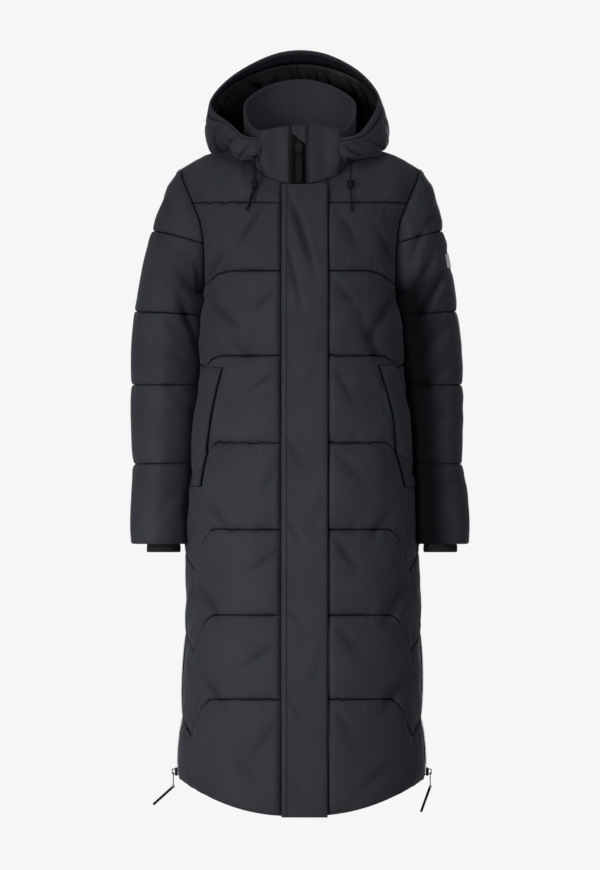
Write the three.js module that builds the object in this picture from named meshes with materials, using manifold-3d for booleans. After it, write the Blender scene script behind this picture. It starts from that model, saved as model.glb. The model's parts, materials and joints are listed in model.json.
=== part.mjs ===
// A long hooded puffer coat, filled out as if worn: quilted fronts, back and sleeves, stand collar,
// hood round the collar, storm flap over the front zip, slanted pockets and zips in the side seams.
// Millimetres, +Z up. The front faces -Y and the wearer's right is towards -X.
// Z = 0 is a little above the front neck, X = 0 is the middle of the shoulders.

import * as THREE from 'three';
import { mergeVertices } from 'three/addons/utils/BufferGeometryUtils.js';
import Module from 'manifold-3d';

const wasm = await Module();
wasm.setup();

// Driving dimensions
const WALL = 2.5;
const SEAM_GAP = 0.3;
const BODY_PUFF = 9;
const SLEEVE_PUFF = 5.5;
const ROUNDNESS = 2.3;
const ZIP_X = -2;
const ZIP_HALF_WIDTH = 12;
const ARMHOLE = { top: -15, reach: 65 };
const CUFF_Z = -653;
const HEM_Z = -1114;
const HEM_RISE = 60;
const RAD = Math.PI / 180;

// Where a quilting line runs level, where it turns down, and where it meets the side, as shares of the
// way from the centre of the front or back to the side seam
const LEVEL_UNTIL = 0.49;
const CORNER_AT = 0.71;
const NECK_SHARE = 0.4;

// Heights of the quilting lines, from the hem up: at the centre, at the low corner and at the side
const QUILT_LINES = [
  { name: 'hem' },
  { name: 'seventh', centre: -916, corner: -980, side: -947 },
  { name: 'sixth', centre: -773, corner: -836, side: -805 },
  { name: 'fifth', centre: -628, corner: -698, side: -668 },
  { name: 'fourth', centre: -481, corner: -540, side: -522 },
  { name: 'third', centre: -333, corner: -352, side: -345 },
  { name: 'second', centre: -189, corner: -196, side: -212 },
  { name: 'yoke', centre: -73, corner: -73, side: -73 },
];
const YOKE = QUILT_LINES.length - 1;
// Rows of each quilted band, as shares of its height
const BAND_ROWS = [0, 0.14, 0.5, 0.86];
// Columns from the centre to the side seam
const PANEL_COLUMNS = [0, 0.1, 0.2, 0.3, 0.4, 0.49, 0.61, 0.71, 0.8, 0.9, 1];

// Sections of the body at the depth of its quilting lines
const BODY_SECTIONS = [
  { z: -1120, halfWidth: 206, front: 146, back: 152, centre: 3 },
  { z: -1035, halfWidth: 205, front: 147, back: 154, centre: 3 },
  { z: -947, halfWidth: 199, front: 147, back: 155, centre: 3 },
  { z: -835, halfWidth: 196, front: 146, back: 155, centre: 5 },
  { z: -746, halfWidth: 195, front: 145, back: 154, centre: 6 },
  { z: -668, halfWidth: 195, front: 144, back: 152, centre: 3.5 },
  { z: -559, halfWidth: 192, front: 142, back: 146, centre: 3 },
  { z: -473, halfWidth: 186, front: 140, back: 138, centre: 5 },
  { z: -400, halfWidth: 177, front: 140, back: 134, centre: 4 },
  { z: -345, halfWidth: 175, front: 140, back: 135, centre: 3 },
  { z: -282, halfWidth: 171, front: 140, back: 138, centre: 2 },
  { z: -230, halfWidth: 162, front: 138, back: 140, centre: 0 },
  { z: -150, halfWidth: 162, front: 132, back: 137, centre: 0 },
  { z: -73, halfWidth: 182, front: 116, back: 118, centre: 0 },
  { z: -41, halfWidth: 198, front: 100, back: 105, centre: 0 },
];
// The armhole seam seen from the front: how far out it lies at each height
const ARMHOLE_EDGE = [
  { z: -231, x: 162 }, { z: -202, x: 162 }, { z: -155, x: 163 }, { z: -129, x: 165 },
  { z: -102, x: 170 }, { z: -73, x: 182 }, { z: -34, x: 200 }, { z: -15, x: 204 },
];

// Outer edge of each sleeve seen from the front
const SLEEVE_EDGE = {
  right: [
    { z: -653, x: 283 }, { z: -513, x: 279 }, { z: -382, x: 282 }, { z: -257, x: 277 },
    { z: -238, x: 272 }, { z: -180, x: 261 }, { z: -117, x: 247 }, { z: -76, x: 232 },
    { z: -45, x: 221 }, { z: -15, x: 206 },
  ],
  left: [
    { z: -653, x: 284 }, { z: -626, x: 282 }, { z: -559, x: 277 }, { z: -510, x: 271 },
    { z: -384, x: 272 }, { z: -253, x: 263 }, { z: -180, x: 250 }, { z: -122, x: 240 },
    { z: -87, x: 232 }, { z: -45, x: 221 }, { z: -15, x: 206 },
  ],
};
// Sleeve depth, forward reach and the rise of each level from the inner to the outer side
const SLEEVE_LEVELS = [
  { z: -653, halfDepth: 46, forward: 14, rise: 0 },
  { z: -513, halfDepth: 54, forward: 8, rise: -4 },
  { z: -382, halfDepth: 60, forward: 2, rise: 0 },
  { z: -269, halfDepth: 64, forward: 0, rise: 12 },
  { z: -143, halfDepth: 65, forward: 0, rise: 22 },
  { z: -92, halfDepth: 65, forward: 0, rise: 20 },
  { z: -44, halfDepth: 65, forward: 0, rise: 8 },
  { z: -15, halfDepth: 65, forward: 0, rise: 0 },
];
const SLEEVE_SEAMS = [CUFF_Z, -513, -382, -269, -142.5, ARMHOLE.top];
const SLEEVE_COLUMNS = 16;
const SLEEVE_CLEARANCE = 2.4;

// Neck seam: plan radii, and its heights at the front, the shoulder and the back
const NECK = {
  halfWidth: 95, yMiddle: -13, yReach: 85, front: -42, shoulder: 28, back: 30, shoulderAngle: 95, sweep: 1.5,
};

// Top edge of the collar by angle from the front
const COLLAR_TOP = [
  { angle: 0, z: 56 }, { angle: 20, z: 54 }, { angle: 38, z: 47 }, { angle: 60, z: 56 },
  { angle: 80, z: 80 }, { angle: 95, z: 96 }, { angle: 120, z: 112 }, { angle: 135, z: 123 },
  { angle: 150, z: 132 }, { angle: 165, z: 138.5 }, { angle: 180, z: 141 },
];
const COLLAR_TOP_HALF_WIDTH = 97;
const COLLAR_TOP_MIDDLE = -8;
const COLLAR_TOP_REACH = 80;

// Collar ends that lie over the hood: their edges across the front and how far up they reach, and how far
// they stand off the collar
const COLLAR_TABS = [
  { name: 'collar_tab_right', from: -60, to: -18, reach: 1.03 },
  { name: 'collar_tab_left', from: 16, to: 60, reach: 1.06 },
];
const TAB_LIFT = 3.4;
const TAB_THICKNESS = 3;
const TAB_DIP = 0.02;
// Guard over the top of the zip
const CHIN_GUARD = { from: -14, to: 10, low: 0.76, reach: 1.04, lift: 0.6, outer: 2.4 };
// Shoulder seam: where it ends, and how far its middle rises
const SHOULDER_TIP = { x: 204, y: 0 };
const SHOULDER_RISE = 5;
// Knitted cuff inside each sleeve end
const RIB = { halfWidth: 29, halfDepth: 36, showing: 14, forward: 13, clearance: 1.4, wall: 2.4, groove: 0.8 };
const RIB_COUNT = 24;

// The hood from its right front end round the back to its left front end: rim, widest line, and the
// angle on the neck seam that it is sewn to
const HOOD_STATIONS = [
  { rim: [-60, -95, 36], wide: [-70, -98, 8], angle: -58 },
  { rim: [-95, -82, 42], wide: [-110, -74, 22], angle: -68 },
  { rim: [-118, -62, 62], wide: [-142, -48, 28], angle: -80 },
  { rim: [-150, -28, 84], wide: [-156, -6, 34], angle: -92 },
  { rim: [-150, 8, 108], wide: [-151, 62, 44], angle: -112 },
  { rim: [-111, 36, 148], wide: [-120, 124, 52], angle: -135 },
  { rim: [-33, 52, 182], wide: [-44, 164, 54], angle: -162 },
  { rim: [34, 52, 182], wide: [44, 164, 54], angle: -198 },
  { rim: [99, 38, 154], wide: [116, 124, 52], angle: -225 },
  { rim: [134, 8, 112], wide: [148, 62, 44], angle: -248 },
  { rim: [129, -26, 84], wide: [152, -6, 32], angle: -268 },
  { rim: [100, -64, 46], wide: [134, -46, 22], angle: -280 },
  { rim: [63, -92, 36], wide: [77, -94, 4], angle: -302 },
];
const HOOD_WALL = 2.5;
const LINING_WALL = 1.5;
const HOOD_ROWS = 7;
// Seams between the hood's side, centre and side pieces, as shares of the rim
const HOOD_SEAMS = [0.446, 0.638];
const LINING_GAP = 1.4;
const HOOD_FOOT_RISE = 10;

// Storm flap: its two edges, and how far it stands off the front at each
const FLAP = { xSewn: -31, xFree: 46, top: -43, bottom: -1116, liftSewn: 3.6, liftFree: 8.5, thickness: 3.4 };
const STRIP_WIDTH = 9;

// Pocket welts: front edge at each height, and their width there
const WELT = {
  right: { edge: [{ z: -556, x: -160 }, { z: -491, x: -153 }, { z: -437, x: -143 }, { z: -352, x: -126 }] },
  left: { edge: [{ z: -556, x: 170 }, { z: -491, x: 158 }, { z: -437, x: 150 }, { z: -348, x: 128 }] },
};
const WELT_WIDTH = [{ z: -556, w: 19 }, { z: -491, w: 23 }, { z: -437, w: 27 }, { z: -352, w: 30 }];
const WELT_THICKNESS = 5;

// Side zips, and the pull tabs of all three zips
const SIDE_ZIP = { top: -802, bottom: -1048, halfWidth: 7, thickness: 1.8, lift: 0.7 };
const PULL = {
  hingeOut: 7.55, hingeDrop: 1.5, linkHalfWidth: 4.3, wire: 0.9, knuckle: 2.6, knuckleHalf: 2.7, bore: 1.35,
  neck: 4.4,
};
// The link is how long each pull's link is; the side zips' tabs hang lower, on longer links
const FRONT_TAB = { link: 9, length: 48, width: 10, thickness: 2.2 };
const SIDE_TAB = { link: 24, length: 46, width: 7, thickness: 4.2 };
const FRONT_SLIDER_Z = 21;
const SIDE_SLIDER_Z = -1041;

// Drawcords: each follows its points down from its eyelet
const CORD_RADIUS = 1.25;
const CORDS = {
  cord_right_long: [[-76.2, -94.3, 8.3], [-77.2, -96.2, 6.4], [-77.3, -98.2, 2.5], [-76.6, -100.2, -6],
    [-75.4, -103.2, -18], [-74.7, -106.2, -30], [-74.8, -109, -42], [-77, -112, -53], [-81, -115.5, -64],
    [-85.5, -119.5, -74]],
  cord_right_short: [[-78.6, -92.7, 8.4], [-80.1, -94.4, 6.2], [-80.6, -96.5, 2.5], [-80.1, -99.2, -6],
    [-79, -102.6, -18], [-78.3, -106, -30], [-78.3, -108.9, -42], [-78.8, -110.9, -49.5], [-82, -116.6, -59]],
  cord_left: [[84, -88.1, 4.6], [85.8, -89.9, 3.2], [86.5, -92.5, 0], [86.3, -96.2, -8], [86, -100.4, -18],
    [86, -104.6, -30], [86, -108.6, -42], [86.4, -111.9, -54], [87, -115, -65], [87.6, -118.4, -76]],
};
// Eyelets: where they sit on the hood, by share of the rim and share of the way to the foot
const EYELETS = { eyelet_right: { t: 0.012, s: 0.55 }, eyelet_left: { t: 0.992, s: 0.55 } };
const EYELET = { inner: 3.2, outer: 5.4, thickness: 1.3, lift: 0.5 };
const STOPPER_PLACES = [
  { name: 'stopper_right', at: [-76.6, -108.8, -41.5], slot: 3.7 },
  { name: 'stopper_left', at: [86, -108.4, -41.5], slot: 0 },
];
const STOPPER = { radius: 6, height: 13, bore: 1.9, lean: 14 };
const PATCH = { wFront: -0.2, wBack: 0.06, low: -201, high: -179, lift: 0.9, thickness: 0.8 };
const TIP = { radius: 2.1, length: 13 };

const clothFront = new THREE.MeshStandardMaterial({ color: 0x2e2f33, roughness: 0.62, metalness: 0 });
const lining = new THREE.MeshStandardMaterial({ color: 0x141518, roughness: 0.4, metalness: 0 });
const rib = new THREE.MeshStandardMaterial({ color: 0x111113, roughness: 0.95, metalness: 0 });
const tape = new THREE.MeshStandardMaterial({ color: 0x18191b, roughness: 0.85, metalness: 0 });
const metal = new THREE.MeshStandardMaterial({ color: 0x3c3e42, roughness: 0.35, metalness: 0.9 });
const rubber = new THREE.MeshStandardMaterial({ color: 0x17181a, roughness: 0.55, metalness: 0 });
const patchCloth = new THREE.MeshStandardMaterial({ color: 0xd9dadb, roughness: 0.8, metalness: 0 });

const coat = new THREE.Group();

// Adds a named mesh to a group
function add(name, geometry, material, parent = coat) {
  const mesh = new THREE.Mesh(geometry, material);
  mesh.name = name;
  parent.add(mesh);
  return mesh;
}

const clamp = (v, low = 0, high = 1) => Math.min(high, Math.max(low, v));
const mix = (a, b, t) => a + (b - a) * t;
const smooth = (t) => { const c = clamp(t); return c * c * (3 - 2 * c); };

// Straight interpolation in a table of rows with rising keys
function lookup(rows, key, value, at) {
  const sorted = rows[0][key] < rows[rows.length - 1][key] ? rows : [...rows].reverse();
  if (at <= sorted[0][key]) return sorted[0][value];
  for (let i = 1; i < sorted.length; i += 1) {
    if (at <= sorted[i][key]) {
      const t = (at - sorted[i - 1][key]) / (sorted[i][key] - sorted[i - 1][key]);
      return mix(sorted[i - 1][value], sorted[i][value], t);
    }
  }
  return sorted[sorted.length - 1][value];
}

// Height of a quilting line at a share u of the way to the side
function lineHeight(index, u) {
  if (index === 0) return HEM_Z + HEM_RISE * Math.sin(clamp(u) * Math.PI / 2) ** 1.9;
  const line = QUILT_LINES[index];
  if (u <= LEVEL_UNTIL) return line.centre;
  if (u <= CORNER_AT) {
    return mix(line.centre, line.corner, ((u - LEVEL_UNTIL) / (CORNER_AT - LEVEL_UNTIL)) ** 1.7);
  }
  return mix(line.corner, line.side, 1 - (1 - clamp((u - CORNER_AT) / (1 - CORNER_AT))) ** 1.6);
}

const rowHeight = (index, share, u) => mix(lineHeight(index, u), lineHeight(index + 1, u), share);
const UNDERARM_Z = rowHeight(YOKE - 2, BAND_ROWS[3], 1);
const ARMHOLE_MIDDLE = (UNDERARM_Z + ARMHOLE.top) / 2;

// Half width in Y of the armhole at a height
function armholeReach(z) {
  const t = (z - ARMHOLE_MIDDLE) / (ARMHOLE.top - ARMHOLE_MIDDLE);
  return ARMHOLE.reach * Math.sqrt(Math.max(0, 1 - t * t));
}

// The body's section at a height, front (face -1) or back (face 1): half width, depth, and the angle at
// which the cloth ends, which is the side seam below the arm and the armhole above it
function section(z, face) {
  const depth = lookup(BODY_SECTIONS, 'z', face < 0 ? 'front' : 'back', z);
  const centre = lookup(BODY_SECTIONS, 'z', 'centre', z);
  if (z <= UNDERARM_Z) {
    return { halfWidth: lookup(BODY_SECTIONS, 'z', 'halfWidth', z), depth, centre, end: Math.PI / 2 };
  }
  const share = clamp(armholeReach(z) / depth);
  const across = (1 - share ** ROUNDNESS) ** (1 / ROUNDNESS);
  const end = Math.atan2(across ** (ROUNDNESS / 2), share ** (ROUNDNESS / 2));
  return { halfWidth: lookup(ARMHOLE_EDGE, 'z', 'x', z) / across, depth, centre, end };
}

// A point of the body at a height and an angle from the centre of the front or back
function bodyPoint(face, side, angle, z) {
  const cut = section(z, face);
  const across = Math.abs(Math.sin(angle)) ** (2 / ROUNDNESS) * Math.sign(angle || 1);
  const along = Math.abs(Math.cos(angle)) ** (2 / ROUNDNESS) * Math.sign(Math.cos(angle));
  return new THREE.Vector3(cut.centre + side * cut.halfWidth * across, face * cut.depth * along, z);
}

// The angle at which a panel starts: beside the zip on a front, at the middle of the back
function startAngle(face, side, z) {
  if (face > 0) return 0;
  const cut = section(z, face);
  const x = Math.abs(ZIP_X + side * (ZIP_HALF_WIDTH + SEAM_GAP) - cut.centre);
  return Math.asin((x / cut.halfWidth) ** (ROUNDNESS / 2));
}

// A point on the neck seam; angle 0 is the front, negative towards the wearer's right
function neckPoint(angle) {
  const turn = Math.abs(angle) > 180 ? 360 - Math.abs(angle) : Math.abs(angle);
  const z = turn < NECK.shoulderAngle
    ? NECK.front + (NECK.shoulder - NECK.front) * (turn / NECK.shoulderAngle) ** NECK.sweep
    : mix(NECK.shoulder, NECK.back, (turn - NECK.shoulderAngle) / (180 - NECK.shoulderAngle));
  return new THREE.Vector3(
    NECK.halfWidth * Math.sin(angle * RAD), NECK.yMiddle - NECK.yReach * Math.cos(angle * RAD), z);
}

// The upper edge of a panel: along the neck seam, then out along the shoulder seam
function topEdge(face, side, u) {
  const neckEnd = neckPoint(NECK.shoulderAngle);
  if (u <= NECK_SHARE) {
    const start = face < 0
      ? Math.asin((Math.abs(ZIP_X + side * (ZIP_HALF_WIDTH + SEAM_GAP)) / NECK.halfWidth)) / RAD : 180;
    const point = neckPoint(mix(start, NECK.shoulderAngle, u / NECK_SHARE));
    return new THREE.Vector3(side * point.x, point.y, point.z);
  }
  const t = (u - NECK_SHARE) / (1 - NECK_SHARE);
  return new THREE.Vector3(side * mix(neckEnd.x, SHOULDER_TIP.x, t), mix(neckEnd.y, SHOULDER_TIP.y, t),
    mix(neckEnd.z, ARMHOLE.top, t) + SHOULDER_RISE * Math.sin(t * Math.PI));
}

// A point of a front or back panel. line is a quilting line's number plus the share of the band above it.
function panelPoint(face, side, u, line) {
  const index = Math.min(Math.floor(line), YOKE);
  const share = line - index;
  if (index < YOKE) {
    const z = rowHeight(index, share, u);
    const start = startAngle(face, side, z);
    return bodyPoint(face, side, start + u * (section(z, face).end - start), z);
  }
  const yokeZ = QUILT_LINES[YOKE].centre;
  const bend = (v) => {
    const start = startAngle(face, side, yokeZ);
    const low = bodyPoint(face, side, start + v * (section(yokeZ, face).end - start), yokeZ);
    const high = topEdge(face, side, v);
    const knee = new THREE.Vector3(mix(low.x, high.x, 0.45), low.y * 0.93, mix(low.z, high.z, 0.62));
    return low.multiplyScalar((1 - share) ** 2).addScaledVector(knee, 2 * share * (1 - share))
      .addScaledVector(high, share * share);
  };
  const level = mix(yokeZ, ARMHOLE.top, share);
  const edge = new THREE.Vector3(side * lookup(ARMHOLE_EDGE, 'z', 'x', level), face * armholeReach(level), level);
  return bend(u).addScaledVector(edge.sub(bend(1)), u ** 3);
}

// How far the filling lifts the cloth: full between two quilting lines, less at the panel's edges
function panelPuff(face, side, u, line) {
  const share = line - Math.floor(line);
  const point = panelPoint(face, side, u, Math.min(line, YOKE + 0.999));
  const armhole = smooth((point.z - UNDERARM_Z + 45) / 44);
  let fade = 1 - mix(0.4, 1, armhole) * u ** 6;
  if (face < 0) {
    const out = Math.abs(point.x - (side < 0 ? FLAP.xSewn : FLAP.xFree));
    const beyond = side < 0 ? point.x < FLAP.xSewn : point.x > FLAP.xFree;
    fade *= beyond ? mix(0.12, 1, smooth(out / 30)) : 0.12;
  }
  // The hood lies on the shoulders and holds them down
  if (line > YOKE) fade *= mix(0.2, 1, smooth((Math.abs(point.x) - 125) / 35));
  return BODY_PUFF * Math.sin(Math.PI * clamp(share)) ** 0.5 * fade;
}

// Unit normal of a surface given as a function of two parameters, outwards by the order of the two
function normalOf(surface, u, v, du = 0.004, dv = 0.004) {
  const a = surface(u + du, v).sub(surface(u - du, v));
  const b = surface(u, v + dv).sub(surface(u, v - dv));
  return a.cross(b).normalize();
}

// Closes an outer and an inner grid of points into one wall. joined(row) says whether the strip above
// that row runs right round, so that its two side edges are sewn together.
function wall(outer, inner, flip, joined = () => false) {
  const rows = outer.length;
  const columns = outer[0].length;
  const position = [];
  const push = (a, b, c) => position.push(...(flip ? [a, c, b] : [a, b, c]).flatMap((p) => p.toArray()));
  const quad = (a, b, c, d) => { push(a, b, c); push(a, c, d); };
  for (let j = 0; j + 1 < rows; j += 1) {
    for (let i = 0; i + 1 < columns; i += 1) {
      quad(outer[j][i], outer[j][i + 1], outer[j + 1][i + 1], outer[j + 1][i]);
      quad(inner[j][i], inner[j + 1][i], inner[j + 1][i + 1], inner[j][i + 1]);
    }
    if (!joined(j)) {
      quad(outer[j][0], outer[j + 1][0], inner[j + 1][0], inner[j][0]);
      const e = columns - 1;
      quad(outer[j][e], inner[j][e], inner[j + 1][e], outer[j + 1][e]);
    }
  }
  const last = rows - 1;
  for (let i = 0; i + 1 < columns; i += 1) {
    quad(outer[0][i], inner[0][i], inner[0][i + 1], outer[0][i + 1]);
    quad(outer[last][i], outer[last][i + 1], inner[last][i + 1], inner[last][i]);
  }
  const geometry = new THREE.BufferGeometry();
  geometry.setAttribute('position', new THREE.Float32BufferAttribute(position, 3));
  return mergeVertices(geometry, 1e-4);
}

// A wall over a surface function, raised outwards by lift and set in by sink at each point
function sheet({ surface, us, vs, lift, sink, flip = false, joined, normal }) {
  const outer = [];
  const inner = [];
  for (const v of vs) {
    const outerRow = [];
    const innerRow = [];
    for (const u of us) {
      const point = surface(u, v);
      const n = normal ? normal(u, v) : normalOf(surface, u, v).multiplyScalar(flip ? -1 : 1);
      outerRow.push(point.clone().addScaledVector(n, lift(u, v)));
      innerRow.push(point.clone().addScaledVector(n, -sink(u, v)));
    }
    outer.push(outerRow);
    inner.push(innerRow);
  }
  return wall(outer, inner, flip, joined);
}

const steps = (count, from = 0, to = 1) =>
  Array.from({ length: count + 1 }, (_, i) => mix(from, to, i / count));

const PANEL_ROWS = [];
for (let line = 0; line <= YOKE; line += 1) {
  for (const share of BAND_ROWS) PANEL_ROWS.push(line + share);
}
PANEL_ROWS.push(YOKE + 0.9999);

// Outward normal of a panel; at the shoulder seam it leans neither forwards nor back, so that the two
// panels meet in a plane
function panelNormal(face, side, u, line) {
  const inU = clamp(u, 0.004, 0.996);
  const inLine = clamp(line, 0.004, YOKE + 0.99);
  const outwards = face * side;
  const surface = (a, b) => panelPoint(face, side, a, b);
  const n = normalOf(surface, inU, inLine, 0.003, 0.003).multiplyScalar(-outwards);
  if (line > YOKE) n.y *= 1 - smooth((line - YOKE) * 1.15 - 0.1) * (u >= NECK_SHARE ? 1 : 0.3);
  if (u === 0 && face > 0) n.x = 0;
  if (u === 1 && panelPoint(face, side, u, line).z < UNDERARM_Z) n.y = 0;
  return n.normalize();
}

// Moves a panel's seam edges back by half the gap at a seam
function trimmed(face, side, u, line) {
  const point = panelPoint(face, side, u, line);
  const half = SEAM_GAP / 2;
  if (u === 1) {
    if (point.z < UNDERARM_Z + 1) point.y += face * half;
    else point.x -= side * half;
  }
  if (line > YOKE + 0.99) {
    if (u >= NECK_SHARE) point.y += face * half;
    point.z -= u <= NECK_SHARE ? half : 0;
  }
  return point;
}

function frontPanel(side) {
  return sheet({
    surface: (u, line) => trimmed(-1, side, u, line),
    us: PANEL_COLUMNS,
    vs: PANEL_ROWS,
    lift: (u, line) => panelPuff(-1, side, u, line),
    sink: () => WALL,
    flip: side < 0,
    normal: (u, line) => panelNormal(-1, side, u, line),
  });
}

function backPanel() {
  const half = PANEL_COLUMNS.slice(1);
  const across = [...half.map((u) => -u).reverse(), 0, ...half];
  const sideOf = (w) => (w < 0 ? -1 : 1);
  return sheet({
    surface: (w, line) => trimmed(1, sideOf(w), Math.abs(w), line),
    us: across,
    vs: PANEL_ROWS,
    lift: (w, line) => panelPuff(1, sideOf(w), Math.abs(w), line),
    sink: () => WALL,
    flip: true,
    normal: (w, line) => panelNormal(1, sideOf(w), Math.abs(w), line),
  });
}

// Levels of the sleeve, bottom to top. Round the armhole they are the panels' own row heights.
const sleeveLevels = [];
for (let band = 0; band < 3; band += 1) {
  for (const share of BAND_ROWS) sleeveLevels.push(mix(SLEEVE_SEAMS[band], SLEEVE_SEAMS[band + 1], share));
}
sleeveLevels.push(SLEEVE_SEAMS[3]);
const FIRST_OPEN_LEVEL = sleeveLevels.length;
sleeveLevels.push(UNDERARM_Z);
for (const line of PANEL_ROWS.slice(PANEL_ROWS.indexOf(YOKE - 1))) {
  const share = Math.min(line, YOKE + 1) - Math.floor(line);
  sleeveLevels.push(line < YOKE ? rowHeight(Math.floor(line), share, 1)
    : mix(QUILT_LINES[YOKE].centre, ARMHOLE.top, share));
}

// Inner side of a sleeve: on the armhole seam above the underarm, just clear of the body below it
function sleeveInner(side, z) {
  if (z >= UNDERARM_Z) return lookup(ARMHOLE_EDGE, 'z', 'x', z) + SEAM_GAP;
  const body = lookup(BODY_SECTIONS, 'z', 'halfWidth', z) + side * lookup(BODY_SECTIONS, 'z', 'centre', z);
  return body + SEAM_GAP + (BODY_PUFF * 0.6 + SLEEVE_CLEARANCE) * smooth((UNDERARM_Z - z) / 26);
}

// A point of a sleeve: w runs from -1 at the inner front round the outside to 1 at the inner back
function sleevePoint(side, w, level) {
  const z = level + lookup(SLEEVE_LEVELS, 'z', 'rise', level) * (1 - w * w);
  const edge = SLEEVE_EDGE[side < 0 ? 'right' : 'left'];
  const outerX = Math.max(lookup(edge, 'z', 'x', z), sleeveInner(side, level) + 1.5);
  const reach = Math.max(armholeReach(level), 2.5);
  const high = level > ARMHOLE_MIDDLE;
  const depth = high ? reach : lookup(SLEEVE_LEVELS, 'z', 'halfDepth', level);
  const forward = lookup(SLEEVE_LEVELS, 'z', 'forward', level);
  let end = Math.PI;
  if (high) end = Math.PI / 2;
  else if (level > UNDERARM_Z) end = Math.PI - Math.asin(clamp(armholeReach(level) / depth));
  const inner = sleeveInner(side, level);
  const reachX = (outerX - inner) / (1 - Math.cos(end));
  const turn = w * end;
  return new THREE.Vector3(side * (outerX - reachX + reachX * Math.cos(turn)), -forward + depth * Math.sin(turn), z);
}

function sleevePuff(w, level) {
  let band = 0;
  while (band + 2 < SLEEVE_SEAMS.length && level > SLEEVE_SEAMS[band + 1] + 0.01) band += 1;
  const share = clamp((level - SLEEVE_SEAMS[band]) / (SLEEVE_SEAMS[band + 1] - SLEEVE_SEAMS[band]));
  const open = smooth((level - UNDERARM_Z + 30) / 29);
  return SLEEVE_PUFF * Math.sin(Math.PI * share) ** 0.5 * (1 - mix(0.85, 1, open) * Math.abs(w) ** 5);
}

function sleeveNormal(side, w, level) {
  const surface = (a, b) => sleevePoint(side, a, b);
  return normalOf(surface, clamp(w, -0.99, 0.99), Math.min(level, ARMHOLE.top - 2), 0.01, 1.5)
    .multiplyScalar(side);
}

function sleeve(side) {
  return sheet({
    surface: (w, level) => sleevePoint(side, w, level),
    us: steps(SLEEVE_COLUMNS, -1, 1),
    vs: sleeveLevels,
    lift: (w, level) => sleevePuff(w, level),
    sink: () => WALL,
    flip: side < 0,
    joined: (row) => row < FIRST_OPEN_LEVEL,
    normal: (w, level) => {
      const n = sleeveNormal(side, w, level);
      const closed = Math.abs(w) === 1 && level <= UNDERARM_Z;
      return closed ? new THREE.Vector3(-side, 0, 0) : n;
    },
  });
}

// Rib cuff: a knitted tube whose ribs stand out of its outer side, widening to the sleeve inside
function ribCuff(side) {
  const ribX = sleeveInner(side, CUFF_Z) + WALL + RIB.clearance + RIB.halfWidth;
  const levels = [{ z: CUFF_Z - RIB.showing, blend: 0 }, { z: CUFF_Z + 20, blend: 0 }, { z: CUFF_Z + 52, blend: 1 }];
  const at = (turn, row) => {
    const narrow = new THREE.Vector3(
      side * (ribX + RIB.halfWidth * Math.cos(turn)), -RIB.forward + RIB.halfDepth * Math.sin(turn), row.z);
    const w = turn / Math.PI;
    const wide = sleevePoint(side, w, row.z).addScaledVector(sleeveNormal(side, w, row.z), -WALL - 1);
    wide.z = row.z;
    return narrow.lerp(wide, row.blend);
  };
  const outer = [];
  const inner = [];
  for (const row of levels) {
    const outerRow = [];
    const innerRow = [];
    for (let i = 0; i <= RIB_COUNT * 2; i += 1) {
      const turn = mix(-Math.PI, Math.PI, (i % (RIB_COUNT * 2)) / (RIB_COUNT * 2));
      const point = at(turn, row);
      const out = new THREE.Vector3(side * Math.cos(turn), Math.sin(turn), 0);
      outerRow.push(point.clone().addScaledVector(out, i % 2 === 0 ? 0 : -RIB.groove));
      innerRow.push(point.clone().addScaledVector(out, -RIB.wall));
    }
    outer.push(outerRow);
    inner.push(innerRow);
  }
  return wall(outer, inner, side < 0, () => true);
}

// A point of the collar, v from the neck seam to the top edge
function collarPoint(angle, v) {
  const low = neckPoint(angle);
  low.z += 0.6;
  const top = new THREE.Vector3(
    COLLAR_TOP_HALF_WIDTH * Math.sin(angle * RAD),
    COLLAR_TOP_MIDDLE - COLLAR_TOP_REACH * Math.cos(angle * RAD),
    lookup(COLLAR_TOP, 'angle', 'z', Math.abs(angle) > 180 ? 360 - Math.abs(angle) : Math.abs(angle)));
  return low.lerp(top, v);
}

// Outward direction of the collar, level
function collarOut(angle) {
  return new THREE.Vector3(
    Math.sin(angle * RAD) * COLLAR_TOP_REACH, -Math.cos(angle * RAD) * COLLAR_TOP_HALF_WIDTH, 0).normalize();
}

// Angle on the collar at a distance across from the middle of the front
const collarAngle = (x) => Math.asin(x / (NECK.halfWidth + 1)) / RAD;
const ZIP_EDGE = { right: ZIP_X - ZIP_HALF_WIDTH - SEAM_GAP, left: ZIP_X + ZIP_HALF_WIDTH + SEAM_GAP };

// The collar's columns stand on the ends of the panels' columns round the neck, from the wearer's left
// front round the back to the right front
function neckAngles() {
  const turns = PANEL_COLUMNS.filter((u) => u <= NECK_SHARE).map((u) => u / NECK_SHARE);
  const quarter = (edge) => turns.map((t) => mix(Math.abs(collarAngle(edge)), NECK.shoulderAngle, t));
  const back = turns.slice(0, -1).map((t) => mix(180, NECK.shoulderAngle, t));
  return [...quarter(ZIP_EDGE.left), ...[...back].reverse(), ...back.slice(1).map((a) => 360 - a),
    ...quarter(ZIP_EDGE.right).map((a) => 360 - a).reverse()];
}

function collarPart(angles, rows, low, high, lift, sink) {
  return sheet({
    surface: (angle, v) => collarPoint(angle, v),
    us: angles,
    vs: steps(rows, low, high),
    lift,
    sink,
    normal: (angle) => collarOut(angle),
  });
}

// The hood's curves through its stations
const hoodCurve = (pick) => new THREE.CatmullRomCurve3(HOOD_STATIONS.map(pick), false, 'centripetal');
const rimCurve = hoodCurve((s) => new THREE.Vector3(...s.rim));
const wideCurve = hoodCurve((s) => new THREE.Vector3(...s.wide));
const HOOD_SPAN = HOOD_STATIONS.length - 1;

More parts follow.
